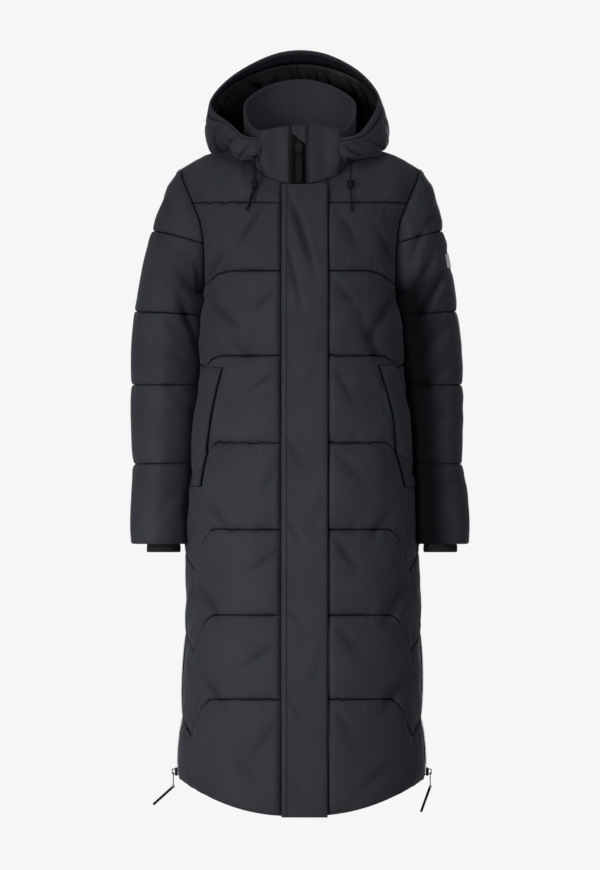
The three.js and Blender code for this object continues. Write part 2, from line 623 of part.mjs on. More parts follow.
// The hood's foot lies just outside the collar and above the shoulders
function hoodFoot(t) {
  const place = clamp(t) * HOOD_SPAN;
  const i = Math.min(Math.floor(place), HOOD_SPAN - 1);
  const angle = mix(HOOD_STATIONS[i].angle, HOOD_STATIONS[i + 1].angle, place - i);
  const off = mix(3, 0.7, smooth(Math.min(clamp(t), 1 - clamp(t)) / 0.12));
  return neckPoint(angle).addScaledVector(collarOut(angle), off).add(new THREE.Vector3(0, 0, HOOD_FOOT_RISE));
}

// A point of the hood: t along the rim, s from the rim over the widest line to the foot
function hoodPoint(t, s) {
  const rim = rimCurve.getPoint(clamp(t));
  const wide = wideCurve.getPoint(clamp(t));
  const foot = hoodFoot(t);
  const knee = wide.multiplyScalar(2).addScaledVector(rim, -0.5).addScaledVector(foot, -0.5);
  return rim.multiplyScalar((1 - s) ** 2).addScaledVector(knee, 2 * s * (1 - s)).addScaledVector(foot, s * s);
}

function hoodNormal(t, s) {
  const surface = (a, b) => hoodPoint(a, b);
  return normalOf(surface, clamp(t, 0.011, 0.989), clamp(s, 0.02, 0.98), 0.01, 0.02);
}

function hoodPart(along, across, lift, sink) {
  return sheet({
    surface: hoodPoint,
    us: along,
    vs: across,
    lift,
    sink,
    normal: hoodNormal,
  });
}

// A point on the front at a distance across and a height, with its outward direction
function frontPoint(x, z) {
  const cut = section(z, -1);
  const share = clamp(Math.abs(x - cut.centre) / cut.halfWidth, 0, 0.999);
  return new THREE.Vector3(x, -cut.depth * (1 - share ** ROUNDNESS) ** (1 / ROUNDNESS), z);
}
const frontNormal = (x, z) => normalOf(frontPoint, x, Math.min(z, -45), 1, 3);

// Filling under a point of the front, found from its height between two quilting lines
function frontPuff(x, z) {
  const side = Math.sign(x);
  const cut = section(z, -1);
  const angle = Math.asin(clamp(Math.abs(x - cut.centre) / cut.halfWidth) ** (ROUNDNESS / 2));
  const start = startAngle(-1, side, z);
  const u = clamp((angle - start) / (cut.end - start));
  let index = 0;
  while (index + 1 < YOKE && z > lineHeight(index + 1, u)) index += 1;
  const share = clamp((z - lineHeight(index, u)) / (lineHeight(index + 1, u) - lineHeight(index, u)), 0, 0.999);
  return panelPuff(-1, side, u, index + share);
}

// Storm flap, sewn on the wearer's right, its free edge standing a little off the front
function flapPart(fromX, toX, columns, top, bottom, rows, extra, thickness) {
  const stand = (x) => mix(FLAP.liftSewn, FLAP.liftFree,
    smooth((x - FLAP.xSewn) / (FLAP.xFree - FLAP.xSewn))) + extra;
  return sheet({
    surface: (x, z) => frontPoint(x, z),
    us: steps(columns, fromX, toX),
    vs: steps(rows, bottom, top),
    lift: (x) => stand(x) + thickness,
    sink: (x) => -stand(x),
    normal: frontNormal,
  });
}

function welt(side) {
  const table = WELT[side < 0 ? 'right' : 'left'].edge;
  const top = table[table.length - 1].z;
  const bottom = table[0].z;
  const x = (share, z) => lookup(table, 'z', 'x', z) + side * share * lookup(WELT_WIDTH, 'z', 'w', z);
  const surface = (share, z) => frontPoint(x(share, z), z);
  const filling = (share, z) => frontPuff(x(share, z), z);
  const rounded = (share, z) => {
    const across = Math.sin(Math.PI * clamp(share, 0.06, 0.94)) ** 0.4;
    const along = smooth(Math.min(z - bottom, top - z) / 14 + 0.3);
    return WELT_THICKNESS * across * along;
  };
  return sheet({
    surface,
    us: steps(4),
    vs: steps(16, bottom, top),
    lift: (share, z) => filling(share, z) + 1.4 + rounded(share, z),
    sink: (share, z) => -filling(share, z) - 1.4,
    flip: side < 0,
    normal: (share, z) => frontNormal(x(share, z), z),
  });
}

// Side zip: a tape over the side seam
function sideZip(side) {
  const surface = (y, z) => {
    const face = y < 0 ? -1 : 1;
    const cut = section(z, face);
    const share = Math.min(Math.abs(y) / cut.depth, 0.99);
    return new THREE.Vector3(cut.centre + side * cut.halfWidth * (1 - share ** ROUNDNESS) ** (1 / ROUNDNESS), y, z);
  };
  const filling = (z) => {
    let index = 0;
    while (index + 1 < YOKE && z > lineHeight(index + 1, 1)) index += 1;
    const share = (z - lineHeight(index, 1)) / (lineHeight(index + 1, 1) - lineHeight(index, 1));
    return panelPuff(-1, side, 1, index + clamp(share, 0, 0.999));
  };
  return sheet({
    surface,
    us: steps(2, -SIDE_ZIP.halfWidth, SIDE_ZIP.halfWidth),
    vs: [SIDE_ZIP.bottom, ...[1, 2, 3, 4, 5, 6, 7, 8, 9].map((i) => mix(SIDE_ZIP.bottom, SIDE_ZIP.top, i / 10)),
      SIDE_ZIP.top],
    lift: (y, z) => filling(z) + SIDE_ZIP.lift + SIDE_ZIP.thickness,
    sink: (y, z) => -filling(z) - SIDE_ZIP.lift,
    flip: side < 0,
    normal: () => new THREE.Vector3(side, 0, 0),
  });
}

// Turns a closed geometry into a solid for cutting and joining, and back
function solid(geometry) {
  const bare = geometry.clone();
  bare.deleteAttribute('normal');
  bare.deleteAttribute('uv');
  const merged = mergeVertices(bare, 1e-4);
  return new wasm.Manifold(new wasm.Mesh({
    numProp: 3,
    vertProperties: new Float32Array(merged.attributes.position.array),
    triVerts: new Uint32Array(merged.index.array),
  }));
}
function geometryOf(manifold) {
  const mesh = manifold.getMesh();
  const geometry = new THREE.BufferGeometry();
  geometry.setAttribute('position', new THREE.BufferAttribute(mesh.vertProperties, 3));
  geometry.setIndex(new THREE.BufferAttribute(mesh.triVerts, 1));
  return geometry;
}

// A plate in the XZ plane with rounded corners, from y0 outwards by its thickness
function plate(width, zLow, zHigh, y0, thickness, radius) {
  const w = width / 2;
  const r = Math.min(radius, w - 0.01);
  const shape = new THREE.Shape();
  shape.moveTo(-w + r, zLow);
  shape.lineTo(w - r, zLow);
  shape.absarc(w - r, zLow + r, r, -Math.PI / 2, 0);
  shape.lineTo(w, zHigh - r);
  shape.absarc(w - r, zHigh - r, r, 0, Math.PI / 2);
  shape.lineTo(-w + r, zHigh);
  shape.absarc(-w + r, zHigh - r, r, Math.PI / 2, Math.PI);
  shape.lineTo(-w, zLow + r);
  shape.absarc(-w + r, zLow + r, r, Math.PI, Math.PI * 1.5);
  const geometry = new THREE.ExtrudeGeometry(shape, { depth: thickness, bevelEnabled: false, curveSegments: 3 });
  geometry.rotateX(Math.PI / 2);
  geometry.translate(0, y0 + thickness, 0);
  return geometry;
}

// Zip slider in its own frame: X along the hinge, +Y away from the coat, Z up.
// A small arch over the slider's body holds the link.
function buildSlider() {
  const outline = new THREE.Shape();
  outline.moveTo(-5.2, 4);
  outline.lineTo(5.2, 4);
  outline.lineTo(5.2, 7.6);
  outline.absarc(2.6, 7.6, 2.6, 0, Math.PI / 2);
  outline.lineTo(-2.6, 10.2);
  outline.absarc(-2.6, 7.6, 2.6, Math.PI / 2, Math.PI);
  const hole = new THREE.Path();
  hole.moveTo(-3.4, 5.2);
  hole.lineTo(-3.4, 7.4);
  hole.absarc(-2, 7.4, 1.4, Math.PI, Math.PI / 2, true);
  hole.lineTo(2, 8.8);
  hole.absarc(2, 7.4, 1.4, Math.PI / 2, 0, true);
  hole.lineTo(3.4, 5.2);
  outline.holes.push(hole);
  const arch = new THREE.ExtrudeGeometry(outline, { depth: 3.4, bevelEnabled: false, curveSegments: 4 });
  // The outline's first axis becomes Z, its second Y, and the depth X
  const turn = new THREE.Matrix4().makeBasis(
    new THREE.Vector3(0, 0, 1), new THREE.Vector3(0, 1, 0), new THREE.Vector3(-1, 0, 0));
  arch.applyMatrix4(turn);
  arch.translate(1.7, 0, 0);
  return geometryOf(solid(plate(11, -7, 7, 0, 4.6, 3)).add(solid(arch)));
}

// A closed wire loop: the link between slider and tab, hanging from its hinge at the origin
function buildLink(l) {
  const w = PULL.linkHalfWidth;
  const corner = 2;
  const points = [];
  const turnAt = (cx, cz, from) => {
    for (let i = 0; i <= 2; i += 1) {
      const a = (from + i * 45) * RAD;
      points.push(new THREE.Vector3(cx + corner * Math.cos(a), 0, cz + corner * Math.sin(a)));
    }
  };
  turnAt(w - corner, -corner, 0);
  turnAt(-w + corner, -corner, 90);
  turnAt(-w + corner, -l + corner, 180);
  turnAt(w - corner, -l + corner, 270);
  const rings = points.length;
  const sides = 6;
  const position = [];
  const ring = (k) => {
    const here = points[k % rings];
    const ahead = points[(k + 1) % rings].clone().sub(points[(k + rings - 1) % rings]).normalize();
    const out = new THREE.Vector3(0, 1, 0).cross(ahead).normalize();
    return Array.from({ length: sides }, (_, i) => {
      const a = (i / sides) * Math.PI * 2;
      return here.clone().addScaledVector(out, PULL.wire * Math.cos(a))
        .add(new THREE.Vector3(0, PULL.wire * Math.sin(a), 0));
    });
  };
  for (let k = 0; k < rings; k += 1) {
    const a = ring(k);
    const b = ring(k + 1);
    for (let i = 0; i < sides; i += 1) {
      const n = (i + 1) % sides;
      position.push(...[a[i], b[n], b[i], a[i], a[n], b[n]].flatMap((p) => p.toArray()));
    }
  }
  const geometry = new THREE.BufferGeometry();
  geometry.setAttribute('position', new THREE.Float32BufferAttribute(position, 3));
  return mergeVertices(geometry, 1e-4);
}

// A flat pull tab with a knuckle round the link's lower side, hanging from its hinge at the origin
function buildTab({ length, width, thickness }) {
  const bar = solid(plate(width, -length, -1.5, -thickness / 2, thickness, width * 0.32));
  const tube = (radius, half) => solid(new THREE.CylinderGeometry(radius, radius, half * 2, 12)
    .rotateZ(Math.PI / 2));
  const neck = solid(plate(width, -3.4, 1.2, -PULL.neck / 2, PULL.neck, 0.5));
  const sides = solid(new THREE.BoxGeometry(width + 4, 8, 4.5 + 2 * PULL.knuckle).translate(0, 0, 0.1))
    .subtract(solid(new THREE.BoxGeometry(PULL.knuckleHalf * 2, 9, 20)));
  return geometryOf(bar.add(tube(PULL.knuckle, PULL.knuckleHalf)).add(neck).subtract(sides)
    .subtract(tube(PULL.bore, PULL.knuckleHalf + 6)));
}

// A zip pull: slider fixed to the zip, link hinged in its arch, tab hinged in the link
function addPull(prefix, suffix, place, turnZ, tab, tabTurn, material) {
  const frame = new THREE.Group();
  frame.position.copy(place);
  frame.rotation.set(0, 0, turnZ);
  coat.add(frame);
  add(`${prefix}_slider${suffix}`, buildSlider(), metal, frame);
  const link = new THREE.Group();
  link.position.set(0, PULL.hingeOut, -PULL.hingeDrop);
  frame.add(link);
  add(`${prefix}_link${suffix}`, buildLink(tab.link), metal, link);
  const pull = new THREE.Group();
  pull.position.set(0, 0, -tab.link);
  pull.rotation.set(tabTurn, 0, 0);
  link.add(pull);
  add(`${prefix}_tab${suffix}`, buildTab(tab), material, pull);
}

// A cord of eight sides along its points
function cordTube(points) {
  const curve = new THREE.CatmullRomCurve3(points.map((p) => new THREE.Vector3(...p)), false, 'centripetal');
  const ring = new THREE.Shape();
  ring.absarc(0, 0, CORD_RADIUS, 0, Math.PI * 2);
  const tube = new THREE.ExtrudeGeometry(ring, {
    steps: 14, curveSegments: 4, bevelEnabled: false, extrudePath: curve,
  });
  return geometryOf(solid(tube));
}

// Places a geometry modelled along Z so that it runs along a cord at a share of its length
function alongCord(geometry, curve, share) {
  const place = curve.getPointAt(share);
  const turn = new THREE.Quaternion().setFromUnitVectors(
    new THREE.Vector3(0, 0, -1), curve.getTangentAt(share));
  return geometry.applyQuaternion(turn).translate(place.x, place.y, place.z);
}

const sideNames = [{ side: -1, name: 'right' }, { side: 1, name: 'left' }];

// Body and sleeves
for (const { side, name } of sideNames) {
  add(`front_${name}`, frontPanel(side), clothFront);
  add(`sleeve_${name}`, sleeve(side), clothFront);
  add(`rib_cuff_${name}`, ribCuff(side), rib);
  add(`pocket_welt_${name}`, welt(side), clothFront);
  add(`side_zip_${name}`, sideZip(side), tape);
}
add('back_panel', backPanel(), clothFront);

// Collar, its front ends and the chin guard
add('collar', collarPart(neckAngles(), 5, 0, 1, () => -0.5, () => WALL + 0.5), clothFront);
for (const { name, from, to, reach } of COLLAR_TABS) {
  add(name, collarPart(steps(6, collarAngle(from), collarAngle(to)), 5, -TAB_DIP, reach,
    (a, v) => TAB_LIFT + TAB_THICKNESS * (0.7 + 0.3 * Math.sin(Math.PI * v)), () => -TAB_LIFT), clothFront);
}
add('chin_guard', collarPart(steps(4, collarAngle(CHIN_GUARD.from), collarAngle(CHIN_GUARD.to)), 3,
  CHIN_GUARD.low, CHIN_GUARD.reach, () => CHIN_GUARD.outer, () => -CHIN_GUARD.lift), clothFront);

// Front zip: one tape from the hem to the top of the collar, between the two fronts
function frontZip() {
  const turnIn = neckPoint(0);
  const surface = (x, v) => {
    if (v <= 1) return frontPoint(x, mix(HEM_Z + 8, turnIn.z - 2, v));
    return collarPoint(collarAngle(x), v - 1);
  };
  return sheet({
    surface,
    us: [ZIP_X - ZIP_HALF_WIDTH, ZIP_X, ZIP_X + ZIP_HALF_WIDTH],
    vs: [...steps(24), ...steps(5, 1.06, 2)],
    lift: () => 0.2,
    sink: () => 1.6,
    normal: (x, v) => (v <= 1 ? frontNormal(x, mix(HEM_Z + 8, turnIn.z - 2, v)) : collarOut(collarAngle(x))),
  });
}
add('front_zip', frontZip(), tape);
add('storm_flap', flapPart(FLAP.xSewn, FLAP.xFree, 5, FLAP.top, FLAP.bottom, 30, 0, FLAP.thickness), clothFront);
add('flap_strip', flapPart(FLAP.xSewn, FLAP.xSewn + STRIP_WIDTH, 1, FLAP.top, FLAP.bottom, 30,
  FLAP.thickness + SEAM_GAP, 1.6), clothFront);

// Hood
const seamHalf = 0.0006;
const hoodAcross = steps(HOOD_ROWS);
const hoodPieces = [
  { name: 'hood_side_right', along: steps(9, 0, HOOD_SEAMS[0] - seamHalf) },
  { name: 'hood_centre', along: steps(5, HOOD_SEAMS[0] + seamHalf, HOOD_SEAMS[1] - seamHalf) },
  { name: 'hood_side_left', along: steps(8, HOOD_SEAMS[1] + seamHalf, 1) },
];
for (const { name, along } of hoodPieces) {
  add(name, hoodPart(along, hoodAcross, () => 0, () => HOOD_WALL), clothFront);
}
const liningAlong = hoodPieces.flatMap((piece) => piece.along).slice(1, -1);
add('hood_lining', hoodPart([0.012, ...liningAlong, 0.988], [0.025, ...hoodAcross.slice(1, -1)],
  () => -HOOD_WALL - LINING_GAP, () => HOOD_WALL + LINING_GAP + LINING_WALL), lining);

// Zip pulls
const frontPlace = collarPoint(collarAngle(ZIP_X), 0.62);
addPull('front', '', new THREE.Vector3(ZIP_X, frontPlace.y - 1.2, FRONT_SLIDER_Z), Math.PI, FRONT_TAB, 7 * RAD, rubber);
for (const { side, name } of sideNames) {
  const cut = section(SIDE_SLIDER_Z, -1);
  const out = new THREE.Vector3(cut.centre + side * (cut.halfWidth + 6.3), 0, SIDE_SLIDER_Z);
  addPull('side', `_${name}`, out, -side * Math.PI / 2, SIDE_TAB, (side < 0 ? 48 : -20) * RAD, rubber);
}

// Drawcords with their eyelets, stoppers and tips
for (const [name, points] of Object.entries(CORDS)) {
  const curve = new THREE.CatmullRomCurve3(points.map((p) => new THREE.Vector3(...p)), false, 'centripetal');
  add(name, cordTube(points), rubber);
  const tip = new THREE.CylinderGeometry(TIP.radius, TIP.radius * 0.8, TIP.length, 10)
    .rotateX(Math.PI / 2).translate(0, 0, -TIP.length / 2 - SEAM_GAP);
  add(name.replace('cord', 'tip'), alongCord(tip, curve, 1), rubber);
}

for (const [name, { t, s }] of Object.entries(EYELETS)) {
  const n = hoodNormal(t, s);
  const { inner, outer, thickness, lift } = EYELET;
  const ring = new THREE.LatheGeometry([[inner, 0], [outer, 0], [outer - 0.5, thickness], [inner + 0.3, thickness],
    [inner, 0]].map((p) => new THREE.Vector2(...p)), 18);
  const turn = new THREE.Quaternion().setFromUnitVectors(new THREE.Vector3(0, 1, 0), n);
  const place = hoodPoint(t, s).addScaledVector(n, lift);
  add(name, geometryOf(solid(ring.applyQuaternion(turn).translate(place.x, place.y, place.z))), metal);
}
for (const { name, at, slot } of STOPPER_PLACES) {
  const barrel = solid(new THREE.CylinderGeometry(STOPPER.radius, STOPPER.radius * 0.86, STOPPER.height, 16));
  const bores = [-slot / 2, slot / 2].map((x) => solid(
    new THREE.CylinderGeometry(STOPPER.bore, STOPPER.bore, STOPPER.height * 2, 10).translate(x, 0, 0)));
  const cut = slot ? barrel.subtract(bores[0]).subtract(bores[1]).subtract(solid(
    new THREE.BoxGeometry(slot, STOPPER.height * 2, STOPPER.bore * 2))) : barrel.subtract(bores[0]);
  const geometry = geometryOf(cut).rotateX(Math.PI / 2 - STOPPER.lean * RAD).translate(...at);
  add(name, geometry, rubber);
}

// Plain patch on the outside of the left sleeve
add('sleeve_patch', sheet({
  surface: (w, level) => sleevePoint(1, w, level),
  us: steps(4, PATCH.wFront, PATCH.wBack),
  vs: steps(3, PATCH.low, PATCH.high),
  lift: (w, level) => sleevePuff(w, level) + PATCH.lift + PATCH.thickness,
  sink: (w, level) => -sleevePuff(w, level) - PATCH.lift,
  normal: (w, level) => sleeveNormal(1, w, level),
}), patchCloth);

export default coat;
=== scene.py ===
# %% [markdown]
# # A long puffer coat
# A puffer coat is two thin cloths with filling between them, stitched through along level lines. Between
# the lines the filling swells, and at the lines the cloth is drawn in and puckers. This lesson builds one
# from curved grids worked out with numpy. All sizes are in millimetres until a mesh is made.

# %% Load the fixed frame
import json

import bpy
import numpy as np
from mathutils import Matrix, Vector

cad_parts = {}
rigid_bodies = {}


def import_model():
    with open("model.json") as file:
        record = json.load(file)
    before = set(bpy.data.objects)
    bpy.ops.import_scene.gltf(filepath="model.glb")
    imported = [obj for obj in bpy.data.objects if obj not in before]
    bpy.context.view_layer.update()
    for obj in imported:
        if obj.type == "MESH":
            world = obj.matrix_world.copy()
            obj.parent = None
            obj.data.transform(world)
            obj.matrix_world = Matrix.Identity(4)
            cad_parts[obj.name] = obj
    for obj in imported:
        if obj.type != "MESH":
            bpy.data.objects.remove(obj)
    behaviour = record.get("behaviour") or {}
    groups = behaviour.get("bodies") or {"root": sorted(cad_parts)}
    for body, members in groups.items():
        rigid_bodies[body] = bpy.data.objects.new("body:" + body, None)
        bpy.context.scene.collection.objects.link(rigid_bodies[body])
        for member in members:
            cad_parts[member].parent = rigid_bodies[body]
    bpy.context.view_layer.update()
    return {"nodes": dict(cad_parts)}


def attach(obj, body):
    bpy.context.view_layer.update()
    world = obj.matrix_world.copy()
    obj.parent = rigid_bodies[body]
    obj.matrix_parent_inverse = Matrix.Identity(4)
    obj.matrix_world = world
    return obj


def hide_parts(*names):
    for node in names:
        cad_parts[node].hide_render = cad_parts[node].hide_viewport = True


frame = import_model()
MM = 0.001
print("frame loaded, nodes:", len(frame["nodes"]))

# %% [markdown]
# ## Camera
# The photograph looks straight at the front from far away, so the two sides keep their true widths. A long
# lens from far back does the same. One pixel of the picture is 1.7 mm on the coat.

# %% Camera
PIXEL = 1.7
FRAME_HEIGHT_PX = 870
MIDDLE_Z = -467.5
CAMERA_DISTANCE = 30000
TRUE_SCALE_Y = -75
SENSOR = 36

camera_data = bpy.data.cameras.new("front_camera")
camera_data.sensor_width = SENSOR
# the picture's scale holds at the middle of the front, a little nearer than the coat's own middle
camera_data.lens = SENSOR * (CAMERA_DISTANCE + TRUE_SCALE_Y) / (PIXEL * FRAME_HEIGHT_PX)
camera_data.clip_end = 100
camera = bpy.data.objects.new("front_camera", camera_data)
camera.location = (0, -CAMERA_DISTANCE * MM, MIDDLE_Z * MM)
camera.rotation_euler = (np.pi / 2, 0, 0)
bpy.context.scene.collection.objects.link(camera)
bpy.context.scene.camera = camera
print("lens", round(camera_data.lens), "mm")

# %% [markdown]
# ## Materials
# Each finish is a small graph of nodes. One helper adds a node with its settings and links, and one turns
# a colour as seen on a screen into the linear values that light is computed with.

# %% Material helpers
def linear(hex_colour):
    """sRGB hex to linear RGBA: a channel c becomes ((c + 0.055) / 1.055) ** 2.4, or c / 12.92 near black."""
    c = np.array([int(hex_colour[i:i + 2], 16) for i in (0, 2, 4)]) / 255
    return (*np.where(c <= 0.04045, c / 12.92, ((c + 0.055) / 1.055) ** 2.4), 1.0)


def node(tree, kind, settings=None, **links):
    """Adds one node, sets its properties, and sets or links its inputs by name, with underscores for
    spaces, or by number, as i0."""
    made = tree.nodes.new(kind)
    for key, value in (settings or {}).items():
        setattr(made, key, value)
    for key, value in links.items():
        numbered = key[0] == "i" and key[1:].isdigit()
        socket = made.inputs[int(key[1:]) if numbered else key.replace("_", " ")]
        if isinstance(value, bpy.types.NodeSocket):
            tree.links.new(value, socket)
        else:
            socket.default_value = value
    return made


def new_material(name):
    """An empty node material with its output, and the tree to fill."""
    material = bpy.data.materials.new(name)
    material.use_nodes = True
    tree = material.node_tree
    tree.nodes.clear()
    return material, tree


def finish_material(tree, shader):
    """Joins a shader to the material's output."""
    node(tree, "ShaderNodeOutputMaterial", Surface=shader.outputs[0])


def ramp(tree, factor, stops):
    """A colour ramp over a factor, with stops given as (place, hex colour)."""
    made = node(tree, "ShaderNodeValToRGB", i0=factor)
    elements = made.color_ramp.elements
    for index, (place, colour) in enumerate(stops):
        element = elements[index] if index < 2 else elements.new(place)
        element.position = place
        element.color = linear(colour)
    return made.outputs[0]


# %% [markdown]
# ## Softshell
# The face cloth is a matte polyester softshell: woven fine, brushed, with a faint sheen at the edge of
# each puff. Its twill is finer than a pixel here, so the bump that draws it is faint. The pattern follows
# the cloth's own map, in metres across and along the piece. A number kept on each point of the cloth says
# how deep in a seam or fold it lies, or how much a neighbour shades it, and paints shade there.

# %% Cloth materials
def woven_cloth(name, colours, thread_mm, roughness, sheen, weave_depth, fleck=0.35, mapped=True,
                gloss=0.3):
    """Twill: two crossed sets of slanted threads give the bump; slow noise shifts the tone a little. On
    mapped pieces the colour, sheen and gloss go down to a deep shadow where seam_shade is 1."""
    material, tree = new_material(name)
    if mapped:
        cloth = node(tree, "ShaderNodeUVMap", {"uv_map": "cloth"}).outputs[0]
    else:
        cloth = node(tree, "ShaderNodeTexCoord").outputs["Object"]
    turned = node(tree, "ShaderNodeMapping", i0=cloth, Rotation=(0, 0, 0.9)).outputs[0]
    thread_scale = 1000 / thread_mm / 20 * np.pi
    threads = node(tree, "ShaderNodeTexWave", {"wave_type": "BANDS", "bands_direction": "X"}, Vector=turned,
                   Scale=thread_scale, Distortion=1.2, Detail=2.0, Detail_Scale=3.0).outputs[1]
    weft = node(tree, "ShaderNodeTexWave", {"wave_type": "BANDS", "bands_direction": "Y"}, Vector=cloth,
                Scale=thread_scale, Distortion=0.6, Detail=1.0).outputs[1]
    weave = node(tree, "ShaderNodeMath", {"operation": "MULTIPLY"}, i0=threads, i1=weft).outputs[0]
    grain = node(tree, "ShaderNodeTexNoise", Vector=cloth, Scale=420.0, Detail=4.0, Roughness=0.7).outputs[0]
    cloud = node(tree, "ShaderNodeTexNoise", Vector=cloth, Scale=14.0, Detail=5.0, Roughness=0.6).outputs[0]
    mixed = node(tree, "ShaderNodeMix", {"data_type": "FLOAT"}, Factor=fleck, i2=cloud, i3=grain).outputs[0]
    plain = ramp(tree, mixed, [(0.3, colours[0]), (0.7, colours[1])])
    colour, gleam = plain, gloss
    if mapped:
        # painted shade: where the point's shade value is 1 the colour goes to near black, and the sheen and
        # gloss to nothing
        seam = node(tree, "ShaderNodeAttribute", {"attribute_name": "seam_shade"}).outputs["Fac"]
        colour = node(tree, "ShaderNodeMix", {"data_type": "RGBA"}, Factor=seam, i6=plain,
                      i7=linear("030304")).outputs[2]
        gleam = node(tree, "ShaderNodeMath", {"operation": "MULTIPLY_ADD"}, i0=seam, i1=-gloss,
                     i2=gloss).outputs[0]
        sheen = node(tree, "ShaderNodeMath", {"operation": "MULTIPLY_ADD"}, i0=seam, i1=-sheen,
                     i2=sheen).outputs[0]
    height = node(tree, "ShaderNodeMath", {"operation": "MULTIPLY_ADD"}, i0=grain, i1=0.8,
                  i2=weave).outputs[0]
    bump = node(tree, "ShaderNodeBump", Strength=weave_depth, Distance=0.0006, Height=height).outputs[0]
    shader = node(tree, "ShaderNodeBsdfPrincipled", Base_Color=colour, Roughness=roughness, Normal=bump,
                  Sheen_Weight=sheen, Sheen_Roughness=0.45, Sheen_Tint=linear("c9ced8"),
                  Specular_IOR_Level=gleam)
    finish_material(tree, shader)
    return material


# outer cloth: matt polyester softshell
SOFTSHELL = woven_cloth("softshell_polyester", ("23252a", "2d3036"), 1.6, 0.74, 0.14, 0.12, gloss=0.2)
# lining of the hood: thin, slightly glossy taffeta
LINING = woven_cloth("taffeta_lining", ("161719", "202124"), 1.8, 0.5, 0.05, 0.12, gloss=0.35)
# tapes of the zips, and the binding inside the armholes
TAPE = woven_cloth("woven_zip_tape", ("060607", "0d0d0f"), 2.0, 0.85, 0.0, 0.5, mapped=False, gloss=0.1)
# pale plain patch, knitted cuffs and braided cord
PATCH_CLOTH = woven_cloth("woven_patch", ("b9babc", "dcdddf"), 1.6, 0.75, 0.1, 0.4, mapped=False)
RIB_KNIT = woven_cloth("rib_knit_polyester", ("0c0c0e", "161618"), 1.7, 0.9, 0.12, 0.6)
CORD_BRAID = woven_cloth("braided_cord", ("040405", "0a0a0c"), 1.3, 0.8, 0.0, 0.8, gloss=0.2)


def plain_finish(name, colour, roughness, metallic, scale, depth, gloss=0.5):
    """Moulded rubber or plated metal: one colour, with a fine grain that roughens the gloss."""
    material, tree = new_material(name)
    place = node(tree, "ShaderNodeTexCoord").outputs["Object"]
    grain = node(tree, "ShaderNodeTexNoise", Vector=place, Scale=scale, Detail=4.0).outputs[0]
    rough = node(tree, "ShaderNodeMapRange", i0=grain, To_Min=roughness - 0.08, To_Max=roughness + 0.1)
    bump = node(tree, "ShaderNodeBump", Strength=depth, Distance=0.0002, Height=grain).outputs[0]
    shader = node(tree, "ShaderNodeBsdfPrincipled", Base_Color=linear(colour), Metallic=metallic,
                  Roughness=rough.outputs[0], Normal=bump, Specular_IOR_Level=gloss)
    finish_material(tree, shader)
    return material


# sliders, links and eyelets; pull tabs, stoppers and tips; zip teeth; sewing thread
GUNMETAL = plain_finish("black_nickel_plated_zinc", "17181a", 0.38, 0.85, 900.0, 0.15)
RUBBER = plain_finish("moulded_soft_rubber", "060607", 0.6, 0.0, 1600.0, 0.3, 0.15)
TEETH_PLASTIC = plain_finish("moulded_acetal_teeth", "1d1e21", 0.32, 0.0, 1200.0, 0.1)
THREAD = plain_finish("polyester_thread", "1b1c20", 0.6, 0.0, 2400.0, 0.4)
print("materials made:", len(bpy.data.materials))

# %% [markdown]
# ## From a grid to a closed wall of cloth
# A piece of cloth here is a grid of points on its outer side and the same grid on its inner side, joined
# round the edges. Shapes are smooth functions of two shares, so noise and creases are added as whole
# arrays, along the direction that the surface faces.

# %% Grid helpers
def smooth(t):
    """0 to 1 with level ends: 3 t^2 - 2 t^3."""
    t = np.clip(t, 0, 1)
    return t * t * (3 - 2 * t)


def mix(a, b, t):
    return a + (b - a) * t


def facing(grid, flip=False):
    """Unit normals of a grid of points: the cross product of its two directions of travel."""
    normal = np.cross(np.gradient(grid, axis=1), np.gradient(grid, axis=0))
    normal /= np.maximum(np.linalg.norm(normal, axis=2, keepdims=True), 1e-9)
    return -normal if flip else normal


def noise(a, b, cell, seed):
    """Smooth random heights from -1 to 1 on a lattice with the given cell, blended between its corners."""
    cells = 61
    table = np.random.default_rng(seed).uniform(-1, 1, (cells, cells))
    a, b = np.broadcast_arrays(np.asarray(a, float) / cell, np.asarray(b, float) / cell)
    i, j = np.floor(a).astype(int), np.floor(b).astype(int)
    s, t = smooth(a - i), smooth(b - j)
    i, j, i_next, j_next = i % cells, j % cells, (i + 1) % cells, (j + 1) % cells
    return mix(mix(table[i, j], table[i_next, j], s), mix(table[i, j_next], table[i_next, j_next], s), t)


def bell(value, width):
    """1 where the value is 0, falling off on both sides: exp(-(value / width)^2)."""
    return np.exp(-(value / width) ** 2)


def hump(share):
    """0 at two lines and 1 half way between them: sin(pi s)^0.5."""
    return np.sin(np.pi * share) ** 0.5


def at_height(table, z, column):
    """A column of a table of heights, read at heights z."""
    return np.interp(z, table[:, 0], table[:, column])


def cloth_map(grid):
    """Distances across and along a grid of points, in metres, measured from its middle row and column."""
    across = np.linalg.norm(np.diff(grid, axis=1), axis=2)
    along = np.linalg.norm(np.diff(grid, axis=0), axis=2)
    across = np.concatenate([np.zeros((len(grid), 1)), np.cumsum(across, 1)], 1)
    along = np.concatenate([np.zeros((1, grid.shape[1])), np.cumsum(along, 0)], 0)
    return np.stack([across - across[:, across.shape[1] // 2][:, None], along], 2) * MM


